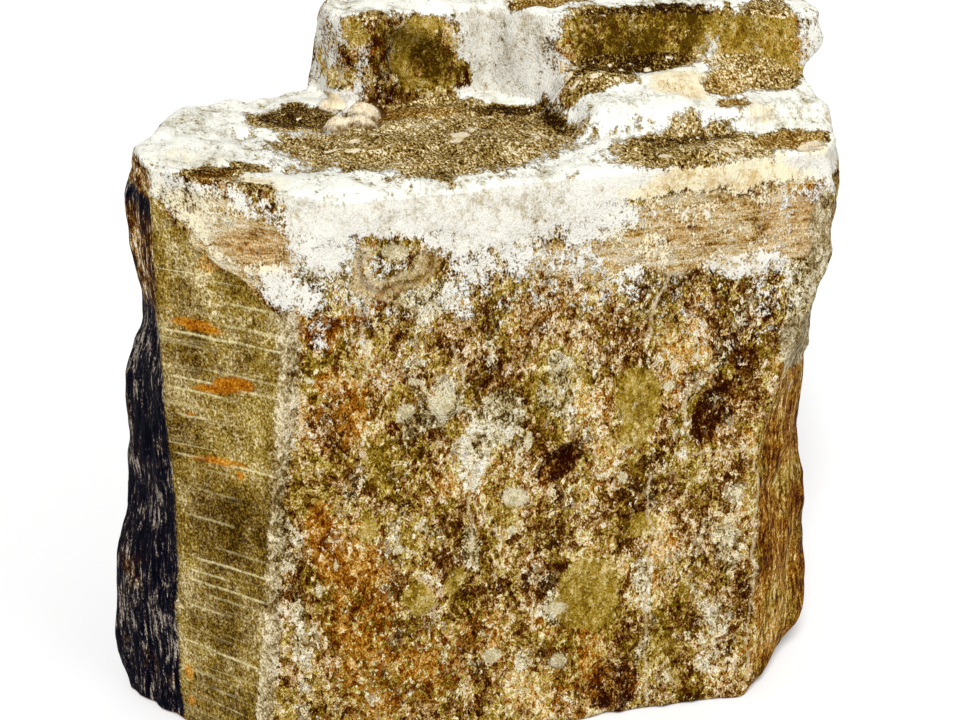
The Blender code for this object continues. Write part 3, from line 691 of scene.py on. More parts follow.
def ovals(across, up, patches, softness=0.5):
    """The strongest of the patches at each point: strength times 1 inside and 0 outside an oval."""

    def oval(middle_a, middle_b, half_a, half_b, strength=1, lean=0):
        a, b = rotated(across - middle_a, up - middle_b, lean)
        r = np.hypot(a / half_a, b / half_b)
        return strength * fall(r, 1 + softness / 2, softness)

    return np.max([np.zeros(len(across)), *(oval(*patch) for patch in patches)], axis=0)


def spots(across, up, places):
    """1 at a spot's middle, 0 at its edge, and below 0 outside, for the nearest spot."""
    nearest = np.full(len(across), -1.0)
    for middle_a, middle_b, half_a, half_b in places:
        r = np.hypot((across - middle_a) / half_a, (up - middle_b) / half_b)
        nearest = np.maximum(nearest, 1 - r)
    return nearest


def strokes(across, up, lines, reach=1.6):
    """For the nearest line: signed distance from it, and its strength where it is within reach."""
    offset = np.full(len(across), reach)
    mark = np.zeros(len(across))
    nearest = np.full(len(across), np.inf)
    for start_a, start_b, end_a, end_b, strength in lines:
        length = math.hypot(end_a - start_a, end_b - start_b)
        a, b = (end_a - start_a) / length, (end_b - start_b) / length
        along = (across - start_a) * a + (up - start_b) * b
        aside = (across - start_a) * b - (up - start_b) * a
        past_end = np.maximum(np.maximum(-along, along - length), 0)
        distance = np.hypot(aside, past_end)
        closer = distance < nearest
        nearest = np.where(closer, distance, nearest)
        offset = np.where(closer, aside, offset)
        mark = np.where(closer, strength * np.clip(1 - distance / reach, 0, 1), mark)
    return offset, mark


def saw_phase(points, across):
    """A count that passes a whole number at each saw mark, and how strong the nearest mark is."""
    heights, starts, ends, strengths = np.array(SAW_MARKS).T
    wavy = points[:, 2] + SAW_WAVER * layered_noise(points, SAW_WAVE_SIZE, 2, seed=150)
    wavy = wavy + SAW_TILT * (across - 0.5)
    phase = np.interp(wavy, heights, np.arange(len(heights)), left=-0.5, right=len(heights) - 0.5)
    nearest = np.clip(np.rint(phase).astype(int), 0, len(heights) - 1)
    started = eased((across - starts[nearest]) / SAW_END_FADE + 0.5)
    within = started * eased((ends[nearest] - across) / SAW_END_FADE + 0.5)
    gap = np.gradient(heights)[nearest]
    return phase, gap, strengths[nearest] * within


def front_powder(x, z):
    """Powder below the front rim: a whole strip along the rim, patches, and a thin scatter below."""
    strip = rise(z, STRIP_FOOT_Z + STRIP_FOOT_RISE * rise(x, *STRIP_RISE_X), STRIP_FADE)
    strip = STRIP_STRENGTH * rise(x, *STRIP_START_X) * strip
    scatter = SCATTER_LEAST + SCATTER_MORE * rise(z, *SCATTER_MORE_Z) * rise(x, *SCATTER_MORE_X)
    scatter = scatter * rise(z, *SCATTER_START_Z) * (1 - 0.5 * rise(x, *SCATTER_END_X))
    patches = PATCH_STRENGTH * ovals(x, z, FRONT_POWDER, PATCH_SOFTNESS)
    return np.maximum(np.maximum(strip, scatter), patches) * (1 - ovals(x, z, FRONT_BARE))


def stone_zones(points, normals, faces, counts):
    """The finish zones, each a value for every point of the net."""
    column, row, tall = counts
    x, y, z = points.T
    u, v = column / NET_ACROSS, row / NET_DEEP
    wall = (tall > 0) & (tall < NET_TALL)

    def wavering(size, seed, layers=3):
        return layered_noise(points, size, layers, seed)

    def face(chosen, rounds):
        return averaged(chosen.astype(float), faces, rounds)

    # Borders of the zones wander a little. What is painted on the top wanders further.
    wander = np.stack([wavering(WANDER_SIZE, 160 + axis) for axis in range(3)], -1)
    wx, wy, wz = (points + wander * WANDER_REACH).T
    tx = wx + wavering(FAR_SIZE, 190, 2) * FAR_REACH
    ty = wy + wavering(FAR_SIZE, 191, 2) * FAR_REACH

    # The faces of the block.
    chamfer = face((row == 0) & (u < CHAMFER_SHARE) & (tall > 0), 3)
    arch = SIDE_TOP - SIDE_TOP_FALL * (v / ARCH_SHARE) ** 2 + ARCH_WANDER * wander[:, 0]
    front_end = (v < FRONT_END_SHARE + 0.2 * wander[:, 1]) & (z > arch)
    front = face(((row == 0) & (u >= CHAMFER_SHARE)) | ((column == NET_ACROSS) & front_end & wall), 4)
    left = face((column == 0) & (row > 0) & (v < LEFT_SHARE + 0.3 * wander[:, 2]) & wall, 5)
    top = face(tall == NET_TALL, 10)
    fibrous = np.clip(1 - chamfer - front - left - top, 0, 1)
    sawn_top = SAWN_TOP - SAWN_FALL * (wx - SAWN_TOP_X)
    sawn = chamfer * eased((sawn_top - wz) / SAWN_FADE + 0.5)
    dark_side = left * fall(wz, *DARK_SIDE_TOP)
    unsawn = chamfer * (1 - sawn)
    on_top = np.clip(top * 1.3, 0, 1)
    on_front = rise(front + unsawn, 0.2, 0.5) * (1 - on_top)
    on_riser = fall(normals[:, 2], 0.85, 0.25) * rise(z, *RISER_FOOT) * (x < RISER_END_X)

    edge_strip = np.exp(-(((u - CHAMFER_SHARE) * SIDE_LENGTH + 0.5) / STRIP_HALF_WIDTH) ** 2)
    edge_strip = np.maximum(edge_strip * fall(z, *EDGE_STRIP_TOP), 1.3 * ovals(wx, wz, PALE_EDGE))
    edge_strip = edge_strip * (chamfer + front) * (1 - on_top)

    (middle_x, middle_z), (half_x, half_z) = SWIRL_MIDDLE, SWIRL_HALF_WIDTHS
    swirl = np.hypot((wx - middle_x) / half_x, (wz - middle_z) / half_z) + 0.45 * wavering(5.0, 180)
    swirl_ring = fall(swirl, 1.35, 0.3) * rise(swirl, 0.4, 0.25)
    swirl_ring = swirl_ring * (0.25 + 0.75 * fall(wz, middle_z + 3, 6))

    low_powder = np.maximum(front_powder(wx, wz), 0.62 * unsawn * (1 - ovals(wx, wz, FRONT_BARE)))
    bare = np.maximum(ovals(tx, ty, TOP_BARE, 0.8), ovals(wx, wz, RISER_BARE, 0.8) * on_riser)
    powder = (0.95 - 1.15 * bare) * on_top + low_powder * (1 - on_top)
    powder = powder * (1 - 0.6 * rise(y, *BACK_FROM) * (1 - top)) * (1 - 0.5 * fibrous)
    powder = powder - 0.6 * sawn - 0.8 * dark_side - 0.5 * edge_strip - 0.7 * on_front * swirl_ring

    def painted(softness, front, riser=(), top=()):
        low = ovals(wx, wz, front, softness) * on_front
        stepped = ovals(wx, wz, riser, softness) * on_riser
        return low + np.maximum(ovals(tx, ty, top, softness), stepped) * on_top

    across = np.clip(u / CHAMFER_SHARE, 0, 1)
    phase, gap, saw_mark = saw_phase(points, across)
    meander = wavering(5.0, 185) * 1.1
    vein, vein_mark = strokes(wx * 0.3 + x * 0.7 + meander, z - meander, FRONT_VEINS)
    chalk_front = np.where(on_front > 0.3, spots(x, z, FRONT_CHALK), -1)
    pebble = np.where(on_top > 0.5, spots(x, y, TOP_PEBBLES), -1)
    chalk_top = np.where(on_top > 0.5, spots(wx * 0.4 + x * 0.6, wy * 0.4 + y * 0.6, TOP_CHALK), -1)
    brown_side = 0.75 * rise(wz, *BROWN_SIDE_FOOT) * fall(wz, *BROWN_SIDE_TOP) + 0.25 * fall(y, -9, 4)
    return {
        **{zone: painted(**patches) for zone, patches in PAINTED.items()},
        "sawn": sawn,
        "dark_side": dark_side,
        "brown_side": dark_side * brown_side,
        "fibrous": fibrous * (1 - 0.5 * rise(y, *LESS_FIBROUS_FROM)),
        "shaded_edge": np.exp(-(((y - SHADED_Y) / SHADED_HALF_WIDTH) ** 2)) * rise(x, *SHADED_FROM_X),
        "powder": powder,
        "edge_strip": edge_strip,
        "sawn_dark": ovals(wx, wz, SAWN_DARK, 0.8),
        "stain": ovals(wx * 0.3 + x * 0.7, wz * 0.2 + z * 0.8, SAWN_STAINS, 0.5),
        "chalk": np.maximum(np.maximum(chalk_front, chalk_top), pebble),
        "pebble": pebble,
        "sand": on_top * rise(normals[:, 2], 0.5, 0.25),
        "swirl": np.where(on_front > 0.3, np.clip(1.4 - swirl, 0, 1.4), 0),
        "swirl_share": swirl_ring * on_front,
        "vein": vein,
        "vein_mark": vein_mark * on_front,
        "saw_phase": phase,
        "saw_gap": gap,
        "saw_mark": saw_mark * sawn,
    }


def rough_block():
    """The block's net with its zones, fitted to the CAD model's box."""
    faces, counts = closed_net()
    column, row, tall = counts
    rim = (column == 0) | (column == NET_ACROSS) | (row == 0) | (row == NET_DEEP)
    points = place_on_stone(counts)
    points = averaged(points, faces, TOP_SOFTENING, held=(tall < NET_TALL) | rim)
    points = averaged(cut_edges(points), faces, EDGE_WEAR, held=tall == 0)
    normals = averaged(net_normals(points, faces), faces, 4)
    normals /= np.linalg.norm(normals, axis=1, keepdims=True)
    underneath = tall == 0
    normals[underneath] *= (1, 1, 0)
    zones = stone_zones(points, normals, faces, counts)
    points = points + normals * relief(points, normals, zones)[:, None]
    points[underneath, 2] = underside_lift(points[underneath])
    low, high = (np.array(corner) / MM for corner in cad_box)
    share = (points - points.min(axis=0)) / np.ptp(points, axis=0)
    return low + share * (high - low), faces, zones


def new_object(name, data):
    """An object of the data, linked to the scene."""
    thing = bpy.data.objects.new(name, data)
    bpy.context.scene.collection.objects.link(thing)
    return thing


def make_piece(name, points, faces, zones):
    """A mesh object of the net, with each zone as an attribute of its points."""
    mesh = bpy.data.meshes.new(name)
    mesh.vertices.add(len(points))
    mesh.vertices.foreach_set("co", (points * MM).astype(np.float32).ravel())
    mesh.loops.add(faces.size)
    mesh.loops.foreach_set("vertex_index", faces.astype(np.int32).ravel())
    mesh.polygons.add(len(faces))
    mesh.polygons.foreach_set("loop_start", np.arange(0, faces.size, 4, dtype=np.int32))
    for zone, values in zones.items():
        attribute = mesh.attributes.new(zone, "FLOAT", "POINT")
        attribute.data.foreach_set("value", values.astype(np.float32))
    mesh.update(calc_edges=True)
    mesh.validate()
    mesh.shade_smooth()
    return new_object(name, mesh)


# ---- Finish -----------------------------------------------------------------------------------


def tint(red, green, blue):
    """A screen colour from 0 to 255 as the linear colour that a shader takes."""
    screen = np.array([red, green, blue]) / 255
    linear = np.where(screen <= 0.04045, screen / 12.92, ((screen + 0.055) / 1.055) ** 2.4)
    return (*linear.tolist(), 1.0)


class Nodes:
    """Adds nodes to a material. Each method returns the output that its nodes are read by."""

    def __init__(self, material):
        material.use_nodes = True
        self.tree = material.node_tree
        self.shader = self.tree.nodes["Principled BSDF"]
        self.named = {}

    def read(self, name):
        """The grain of that name, or else the zone, which is read from the mesh once."""
        if name not in self.named:
            self.named[name] = self.add("Attribute", {}, output="Fac", attribute_name=name)
        return self.named[name]

    def set(self, socket, value):
        """Gives a socket a number, a colour, another node's output, or a grain or zone by name."""
        if isinstance(value, str):
            value = self.read(value)
        if isinstance(value, bpy.types.NodeSocket):
            self.tree.links.new(value, socket)
        else:
            socket.default_value = value

    def add(self, kind, inputs, output=0, **settings):
        node = self.tree.nodes.new("ShaderNode" + kind)
        for name, value in settings.items():
            setattr(node, name, value)
        for name, value in inputs.items():
            self.set(node.inputs[name], value)
        return node.outputs[output]

    def math(self, operation, *values, clamp=False):
        return self.add("Math", dict(enumerate(values)), operation=operation, use_clamp=clamp)

    def vector_math(self, operation, first, second):
        return self.add("VectorMath", {0: first, 1: second}, operation=operation)

    def product(self, first, *others):
        """Product of the values."""
        for value in others:
            first = self.math("MULTIPLY", first, value)
        return first

    def line(self, value, slope, start):
        """start plus slope times the value."""
        return self.math("MULTIPLY_ADD", value, slope, start)

    def varied(self, value, **strengths):
        """The value plus each named grain, taken as -0.5 to 0.5, times its strength."""
        result = self.math("ADD", value, -sum(strengths.values()) / 2)
        for name, strength in strengths.items():
            result = self.line(name, strength, result)
        return result

    def step(self, value, start, end):
        """0 below start, 1 above end, eased between."""
        inputs = {"Value": value, "From Min": start, "From Max": end}
        return self.add("MapRange", inputs, interpolation_type="SMOOTHSTEP")

    def share(self, value, start, end, **strengths):
        """0 below start and 1 above end, with a border that the named grains break up."""
        return self.step(self.varied(value, **strengths), start, end)

    def mix(self, share, first, second):
        return self.add("Mix", {0: share, 6: first, 7: second}, output=2, data_type="RGBA")

    def noise(self, place, size, detail, roughness, output=0):
        """Noise whose blotches are about `size` millimetres."""
        inputs = {"Vector": place, "Scale": 1 / size, "Detail": detail, "Roughness": roughness}
        return self.add("TexNoise", inputs, output=output)

    def flakes(self, place, size):
        """Two random values for each flake of about `size` millimetres."""
        colour = self.add("TexVoronoi", {"Vector": place, "Scale": 1 / size}, output="Color")
        red = self.add("SeparateColor", {0: colour})
        return red, red.node.outputs["Green"]

    def ramp(self, value, stops):
        """Colours along a value: stops of value, red, green and blue."""
        node = self.tree.nodes.new("ShaderNodeValToRGB")
        self.set(node.inputs[0], value)
        elements = node.color_ramp.elements
        while len(elements) < len(stops):
            elements.new(0.5)
        for element, (position, *colour) in zip(elements, stops):
            element.position = position
            element.color = tint(*colour)
        return node.outputs["Color"]


# Colours along a value of 0 to 1: the value, then red, green and blue.
UMBER = (
    (0, 40, 8, 0), (0.2, 72, 34, 2), (0.4, 112, 70, 12), (0.56, 160, 118, 52), (0.74, 212, 182, 132),
    (1, 255, 246, 226),
)
GOLD = (
    (0, 70, 44, 0), (0.25, 114, 84, 8), (0.5, 164, 134, 42), (0.75, 206, 180, 102), (1, 248, 236, 192),
)
PALE = (
    (0, 52, 28, 6), (0.22, 114, 90, 42), (0.42, 176, 158, 108), (0.6, 220, 208, 168), (1, 255, 252, 240),
)
RUST = ((0, 70, 20, 0), (0.25, 112, 54, 0), (0.5, 156, 96, 8), (0.75, 198, 146, 54), (1, 240, 206, 140))
SAWN = ((0, 36, 20, 0), (0.25, 78, 55, 4), (0.5, 116, 91, 26), (0.75, 148, 126, 60), (1, 200, 182, 126))
BEIGE = (
    (0, 46, 28, 8), (0.25, 92, 70, 32), (0.5, 134, 114, 72), (0.75, 176, 160, 120), (1, 222, 210, 180),
)
DARK_SIDE = ((0, 0, 0, 12), (0.35, 8, 8, 24), (0.55, 34, 27, 32), (0.75, 86, 75, 68), (1, 170, 158, 142))
FIBRE = (
    (0, 58, 16, 0), (0.25, 112, 60, 2), (0.5, 162, 110, 22), (0.75, 206, 160, 76), (1, 252, 226, 170),
)
STREAK = (
    (0, 90, 46, 4), (0.22, 142, 100, 28), (0.42, 190, 152, 86), (0.62, 218, 192, 140), (1, 238, 226, 198),
)
# Level ground and the rusty parts of it.
SAND = (
    (0, 34, 14, 2), (0.2, 80, 54, 12), (0.42, 128, 102, 42), (0.62, 166, 138, 78), (0.82, 208, 188, 138),
    (1, 244, 234, 206),
)
OCHRE = (
    (0, 60, 28, 2), (0.3, 108, 70, 12), (0.55, 144, 110, 40), (0.8, 186, 156, 90), (1, 226, 206, 158),
)
# From the swirl's rim, at 0, to near its middle, at 1.
SWIRL = (
    (0, 216, 196, 146), (0.16, 134, 98, 36), (0.3, 214, 186, 128), (0.46, 106, 70, 16),
    (0.58, 126, 90, 34), (0.72, 208, 184, 132), (1, 224, 212, 180),
)
# Crisp flakes on the rough face.
FLAKE = (
    (0, 64, 20, 6), (0.25, 96, 44, 6), (0.35, 164, 108, 20), (0.45, 190, 152, 60), (0.55, 244, 218, 174),
    (0.75, 255, 242, 214), (1, 236, 236, 204),
)
CHALK, CHALK_SHADE = tint(228, 218, 184), tint(202, 186, 138)
# The colour around the pebbles is painted shade at their foot.
PEBBLE, PEBBLE_SHADE, PEBBLE_CONTACT_SHADE = tint(234, 222, 192), tint(206, 180, 142), tint(96, 68, 30)
# The second colour of cream and of each powder is painted shade: a darker copy of the same cream or
# powder. Powder on level ground is painted lighter than the same powder on steep faces, as painted light
# and shade by the way the surface faces.
CREAM, CREAM_PAINTED_SHADE = tint(220, 209, 174), tint(196, 170, 118)
TOP_POWDER, TOP_POWDER_PAINTED_SHADE = tint(229, 229, 219), tint(170, 164, 142)
LOW_POWDER, LOW_POWDER_PAINTED_SHADE = tint(212, 210, 200), tint(170, 158, 130)
THIN_POWDER = tint(208, 186, 138)
SAW_MARK, VEIN_SHADE = tint(210, 198, 148), tint(190, 152, 86)

# How places are stretched before noise is read there: the grain is a little longer along Y and Z.
GRAIN_PLACE, LEVEL_PLACE, CLUMP_PLACE = (1, 0.6, 0.66), (1, 0.5, 0.9), (1, 0.6, 1)
STREAK_PLACE, SAW_PLACE = (0.22, 0.22, 1), (0.03, 0.03, 1)
SPLINTER_PLACE, STRAND_PLACE = (1, 1, 0.24), (1, 1, 0.16)
BEND_SIZE, BEND_REACH = 1 / 0.45, 1.1  # how flakes are bent out of shape
SPECULAR_LEVEL = 0.02
BUMP_HEIGHT = 0.0008


def add_grain(n, here):
    """The grains: noises, flakes and clouds, and the sums of them that make the speckle."""

    def stretched(factors):
        return n.vector_math("MULTIPLY", here, factors)

    grain, level = stretched(GRAIN_PLACE), stretched(LEVEL_PLACE)
    bend = n.vector_math("SUBTRACT", n.noise(grain, BEND_SIZE, 1, 0.5, "Color"), (0.5, 0.5, 0.5))
    bent = n.vector_math("ADD", n.vector_math("MULTIPLY", bend, (BEND_REACH,) * 3), grain)
    small_flake, flake_hue = n.flakes(bent, 0.85)
    n.named = {
        "fine": n.noise(grain, 0.9, 3, 0.78),
        "pepper": n.noise(grain, 0.38, 2, 0.6),
        "large_flake": n.flakes(bent, 1.9)[0],
        "small_flake": small_flake,
        "flake_hue": flake_hue,
        "cloud": n.noise(grain, 11.0, 3, 0.65),
        "other_cloud": n.noise(n.vector_math("ADD", grain, (40, 40, 40)), 9.0, 3, 0.7),
        "pale_cloud": n.noise(n.vector_math("ADD", grain, (90, 90, 90)), 6.5, 3, 0.7),
        "streak": n.noise(stretched(STREAK_PLACE), 1.5, 3, 0.7),
        "sand_grain": n.noise(level, 0.42, 1, 0.7),
        "sand_flake": n.flakes(level, 0.5)[0],
        "crumb": n.noise(level, 1.6, 3, 0.7),
        "splinter": n.noise(stretched(SPLINTER_PLACE), 1.1, 2, 0.75),
        "strand": n.noise(stretched(STRAND_PLACE), 1.2, 3, 0.78),
        "saw_line": n.noise(stretched(SAW_PLACE), 1.4, 3, 0.7),
        "clump": n.noise(stretched(CLUMP_PLACE), 3.6, 3, 0.78),
    }
    n.named["coarse"] = n.varied(0.47, fine=1.25, pepper=1.8, large_flake=0.38, small_flake=0.45)
    n.named["speckle"] = n.varied("coarse", cloud=1.5)


def rough_face(n):
    """Umber and gold speckle in clouds, with pale, rusty and dark patches, streaks and the swirl.

    Returns the colour and the share of smooth gold.
    """
    # The dark zone darkens the speckle: dark stone, and painted shade over the pits and hollows.
    dark = n.share("dark", 0.25, 0.85, cloud=0.6)
    speckle = n.line(dark, -0.34, "speckle")
    colour = n.ramp(speckle, UMBER)
    gold = n.line("gold", 0.5, n.line(dark, -0.4, n.varied("other_cloud", flake_hue=0.34)))
    colour = n.mix(n.step(gold, 0.46, 0.6), colour, n.ramp(n.math("ADD", speckle, 0.04), GOLD))
    rust = n.line("rust", 0.42, n.varied("cloud", flake_hue=-0.3))
    colour = n.mix(n.step(rust, 0.6, 0.78), colour, n.ramp(speckle, RUST))
    pale = n.line("pale", 0.3, n.varied("pale_cloud", fine=0.25))
    colour = n.mix(n.step(pale, 0.58, 0.68), colour, n.ramp(n.math("ADD", speckle, 0.02), PALE))
    smooth_gold = n.product(n.share("gold", 0.55, 0.8, fine=0.8), n.line(dark, -0.85, 1.0))
    colour = n.mix(n.product(smooth_gold, 0.8), colour, n.ramp(n.varied(0.52, speckle=0.45), GOLD))
    flake = n.varied(0.0, small_flake=0.5, fine=1.5, pepper=1.3, pale_cloud=1.3)
    flake = n.product(n.step(n.line(dark, -0.15, flake), 0.24, 0.38), n.line(smooth_gold, -0.5, 0.7))
    colour = n.mix(flake, colour, n.ramp(n.varied("flake_hue", fine=0.5), FLAKE))
    streak = n.line("rust", 0.04, n.varied(0.6, streak=2.8, other_cloud=1.0, pepper=1.2))
    streaks = n.mix(n.product("rust", 0.65), n.ramp(streak, STREAK), n.ramp(streak, RUST))
    colour = n.mix(n.product(n.share("streaky", 0.3, 0.7, fine=0.6), 0.85), colour, streaks)
    swirl = n.ramp(n.varied("swirl", fine=0.5, pepper=0.4), SWIRL)
    return n.mix(n.product(n.share("swirl_share", 0.15, 0.6, fine=0.8), 0.65), colour, swirl), smooth_gold


def level_ground(n):
    """Fine golden brown grain, ochre or dark by zone, with pale crumbs."""
    sand = n.varied(0.5, sand_grain=2.0, cloud=1.1, sand_flake=0.5)
    sand = n.line(n.share("dark", 0.2, 0.8, fine=0.7, cloud=0.5), -0.42, n.line("gold", 0.04, sand))
    colour = n.mix(n.share("rust", 0.3, 0.7, fine=0.8), n.ramp(sand, SAND), n.ramp(sand, OCHRE))
    crumb = n.share("crumb", 0.66, 0.69, cloud=0.5)
    return n.mix(n.product(crumb, 0.9), colour, PEBBLE)


def fibrous_side(n):
    """Upright orange brown fibres, golden in clouds, and darker behind the right edge."""
    fibre = n.varied(0.41, splinter=2.2, fine=1.3, pepper=1.5, cloud=1.2)
    fibre = n.line("shaded_edge", -0.24, fibre)
    golden = n.share("other_cloud", 0.46, 0.62, fine=0.4)
    return n.mix(n.product(golden, 0.7), n.ramp(fibre, FIBRE), n.ramp(fibre, GOLD))


def sawn_corner(n):
    """Olive and beige stone with pale saw marks, faint lines and rust stains.

    Returns the colour and the strength of the marks.
    """
    stone = n.line("sawn_dark", -0.2, n.varied(0.5, pepper=1.9, fine=1.1, cloud=1.5))
    beige = n.share("pale_cloud", 0.45, 0.65, flake_hue=0.3, fine=0.3)
    colour = n.mix(n.product(beige, 0.6), n.ramp(stone, SAWN), n.ramp(stone, BEIGE))
    off_mark = n.math("ABSOLUTE", n.math("SUBTRACT", "saw_phase", n.math("ROUND", "saw_phase")))
    mark = n.step(n.product(off_mark, "saw_gap"), 0.5, 0.1)
    mark = n.product(mark, "saw_mark", n.step("fine", 0.25, 0.6), 0.85)
    mark = n.math("MAXIMUM", mark, n.product(n.step("saw_line", 0.56, 0.75), 0.35))
    colour = n.mix(mark, colour, SAW_MARK)
    stained = n.ramp(n.line(stone, 0.6, 0.16), RUST)
    return n.mix(n.share("stain", 0.3, 0.95, fine=0.9), colour, stained), mark


def dark_side(n):
    """Nearly black strands with a pale fringe, brown where the side is stained."""
    strand = n.varied(0.35, strand=4.2, cloud=2.0, pepper=1.5)
    brown = n.ramp(n.math("ADD", strand, -0.06), UMBER)
    return n.mix(n.share("brown_side", 0.3, 0.8, other_cloud=1.2), n.ramp(strand, DARK_SIDE), brown)


def vein_share(n):
    """Thin broken lines where the distance to a vein is near nothing."""
    line = n.step(n.math("ABSOLUTE", n.varied("vein", fine=2.2)), 0.55, 0.1)
    whole = n.step(n.line("vein_mark", 0.16, "other_cloud"), 0.42, 0.56)
    return n.product(line, n.step("vein_mark", 0.1, 0.5), whole, 0.8)


def soapstone_finish():
    """Speckled umber and gold stone; powder, chalk, veins and saw marks lie over it by zone."""
    material = bpy.data.materials.new("soapstone_rough")
    n = Nodes(material)
    add_grain(n, n.vector_math("MULTIPLY", n.add("TexCoord", {}, output="Object"), (1 / MM,) * 3))
    level = n.step("sand", 0.3, 0.6)

    colour, gold = rough_face(n)
    colour = n.mix(level, colour, level_ground(n))
    colour = n.mix(n.share("fibrous", 0.3, 0.6, fine=0.7, pale_cloud=1.6), colour, fibrous_side(n))
    sawn_colour, mark = sawn_corner(n)
    colour = n.mix(n.share("sawn", 0.35, 0.6, fine=0.6), colour, sawn_colour)
    strip = n.share("edge_strip", 0.3, 0.75, fine=1.2, cloud=1.4)
    colour = n.mix(n.product(strip, 0.85), colour, n.ramp(n.varied(0.7, speckle=0.9), BEIGE))
    dark = n.share("dark_side", 0.35, 0.6, fine=0.6)
    colour = n.mix(dark, colour, dark_side(n))
    colour = n.mix(vein_share(n), colour, n.mix("small_flake", VEIN_SHADE, PEBBLE))

    specks = n.varied(0.0, fine=1.2, pepper=1.0)
    clumps = n.product(n.line("clump", 1.7, -0.85), n.line(level, 0.45, 1.0))
    powder = n.math("ADD", n.varied("powder", cloud=0.5), clumps)
    powder = n.step(n.line(specks, n.line(level, -0.7, 1.0), powder), 0.3, 0.7)
    # Painted light and shade on powder and cream: blotches of noise mix each colour with its darker
    # painted shade copy, standing in for the shading of lumps. The level powder colours are painted
    # lighter than the steep ones.
    powder_painted_light = n.varied("fine", clump=1.4, cloud=1.1, pepper=0.7)
    powder_painted_shade = n.mix(level, LOW_POWDER_PAINTED_SHADE, TOP_POWDER_PAINTED_SHADE)
    powder_colour = n.mix(n.step(powder_painted_light, 0.08, 0.62), powder_painted_shade, n.mix(level, LOW_POWDER, TOP_POWDER))
    cream = n.product(n.share("cream", 0.3, 0.95, clump=1.6, cloud=0.8), 0.85)
    powder_colour = n.mix(cream, powder_colour, n.mix(n.step(powder_painted_light, 0.2, 0.6), CREAM_PAINTED_SHADE, CREAM))
    powder_colour = n.mix(n.step(powder, 0.25, 0.85), THIN_POWDER, powder_colour)
    colour = n.mix(n.product(powder, 0.96), colour, powder_colour)

    ragged = n.product(n.line("fine", 1.2, -0.6), n.line(level, -0.4, 1.0))
    # A dark ring just outside each pebble on level ground is painted contact shade, where the pebble
    # meets the ground.
    around = n.step(n.line(ragged, 0.5, "pebble"), -0.4, -0.1)
    around = n.product(around, level, n.line(powder, -0.35, 0.75))
    colour = n.mix(around, colour, PEBBLE_CONTACT_SHADE)
    chalk_colour = n.mix(n.step("speckle", 0.2, 0.6), CHALK_SHADE, CHALK)
    pebble_colour = n.mix(n.step("fine", 0.25, 0.65), PEBBLE_SHADE, PEBBLE)
    chalk = n.product(n.step(n.math("ADD", "chalk", ragged), -0.1, 0.25), n.line(level, 0.15, 0.85))
    colour = n.mix(chalk, colour, n.mix(level, chalk_colour, pebble_colour))

    thick = n.share(n.line(specks, 0.8, "powder"), 0.3, 0.7, clump=1.8)
    less_on = (n.line("sawn", -0.75, 1.0), n.line(thick, -0.7, 1.0), n.line(level, -0.6, 1.0))
    height = n.product("coarse", *less_on)
    height = n.line(thick, n.line("clump", 0.6, 0.3), height)
    height = n.line(n.product(dark, 0.9), n.varied(0.41, splinter=2.2), height)
    height = n.line(n.product(mark, 0.15), "sawn", height)
    roughness = n.line(gold, -0.12, n.line(powder, 0.25, n.line("fine", 0.5, 0.41)))
    bump = n.add("Bump", {"Strength": 1.0, "Distance": BUMP_HEIGHT, "Height": height})
    finish = {
        "Base Color": colour,
        "Roughness": n.math("ADD", roughness, 0.0, clamp=True),
        "Specular IOR Level": SPECULAR_LEVEL,
        "Normal": bump,
    }
    for name, value in finish.items():
        n.set(n.shader.inputs[name], value)
    return material


# ---- Stage ------------------------------------------------------------------------------------

CAMERA_AZIMUTH, CAMERA_ELEVATION = -12.0, 25.0  # degrees, from straight in front and above level
CAMERA_DISTANCE, CAMERA_AIM = 473.0, (-3.0, -50.0, 96.0)
CAMERA_LENS = 82.5
FLOOR_HALF_WIDTH, FLOOR_COLOUR, FLOOR_ROUGHNESS = 3000.0, (0.86, 0.86, 0.86, 1.0), 0.9
KEY_LIGHT = {"azimuth": -16, "elevation": 46, "strength": 3.35, "softness": 18}
FILL_LIGHT = {"azimuth": 45, "elevation": 30, "strength": 0.6, "softness": 40}
SURROUNDING_LIGHT = 0.45


def direction(azimuth, elevation):
    """Unit direction from the block towards an azimuth and elevation, in degrees."""
    a, e = math.radians(azimuth), math.radians(elevation)
    return Vector((math.sin(a) * math.cos(e), -math.cos(a) * math.cos(e), math.sin(e)))


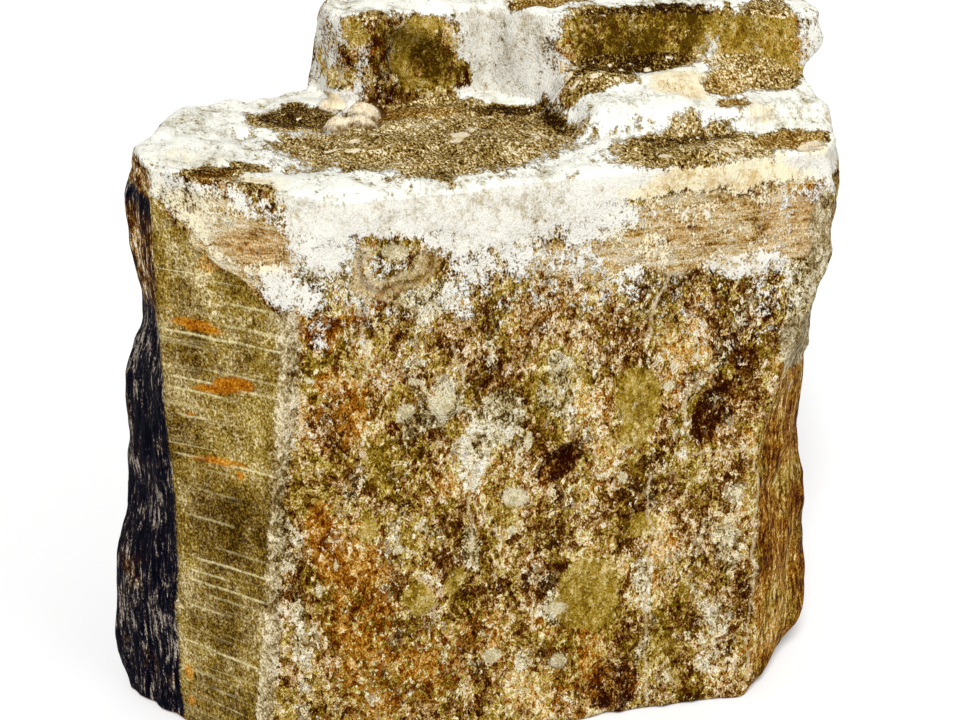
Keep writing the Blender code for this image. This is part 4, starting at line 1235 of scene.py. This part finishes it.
def turn(thing, towards):
    """Turns an object so that its +Z, the back of a camera or a light, points along `towards`."""
    thing.rotation_mode = "QUATERNION"
    thing.rotation_quaternion = towards.to_track_quat("Z", "Y")


def make_floor():
    """A plain pale square under the block."""
    mesh = bpy.data.meshes.new("floor")
    reach = FLOOR_HALF_WIDTH * MM
    corners = [(-reach, -reach, 0), (reach, -reach, 0), (reach, reach, 0), (-reach, reach, 0)]
    mesh.from_pydata(corners, [], [(0, 1, 2, 3)])
    material = bpy.data.materials.new("floor_paper")
    material.use_nodes = True
    shader = material.node_tree.nodes["Principled BSDF"]
    shader.inputs["Base Color"].default_value = FLOOR_COLOUR
    shader.inputs["Roughness"].default_value = FLOOR_ROUGHNESS
    mesh.materials.append(material)
    return new_object("floor", mesh)


def sun(name, azimuth, elevation, strength, softness):
    """A broad soft light from a direction; softness is the width of its source in degrees."""
    light = bpy.data.lights.new(name, "SUN")
    light.energy = strength
    light.angle = math.radians(softness)
    turn(new_object(name, light), direction(azimuth, elevation))


def make_camera():
    """The camera, which looks at its aim from the front and a little above."""
    camera = new_object("camera", bpy.data.cameras.new("camera"))
    camera.data.lens = CAMERA_LENS
    back = direction(CAMERA_AZIMUTH, CAMERA_ELEVATION)
    camera.location = (Vector(CAMERA_AIM) + back * CAMERA_DISTANCE) * MM
    turn(camera, back)
    bpy.context.scene.camera = camera


def make_stage():
    """Floor, soft key light from the upper left, weak fill, pale surroundings and the camera."""
    make_floor()
    sun("key_light", **KEY_LIGHT)
    sun("fill_light", **FILL_LIGHT)
    world = bpy.data.worlds.new("surroundings")
    world.use_nodes = True
    backdrop = world.node_tree.nodes["Background"]
    backdrop.inputs["Color"].default_value = (1.0, 1.0, 1.0, 1.0)
    backdrop.inputs["Strength"].default_value = SURROUNDING_LIGHT
    bpy.context.scene.world = world
    bpy.context.scene.view_settings.view_transform = "Standard"
    make_camera()


def dress():
    """Replaces the CAD stone with the finished one."""
    stone = make_piece("soapstone_rough", *rough_block())
    stone.data.materials.append(soapstone_finish())
    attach(stone, "root")
    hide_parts("soapstone")


dress()
make_stage()
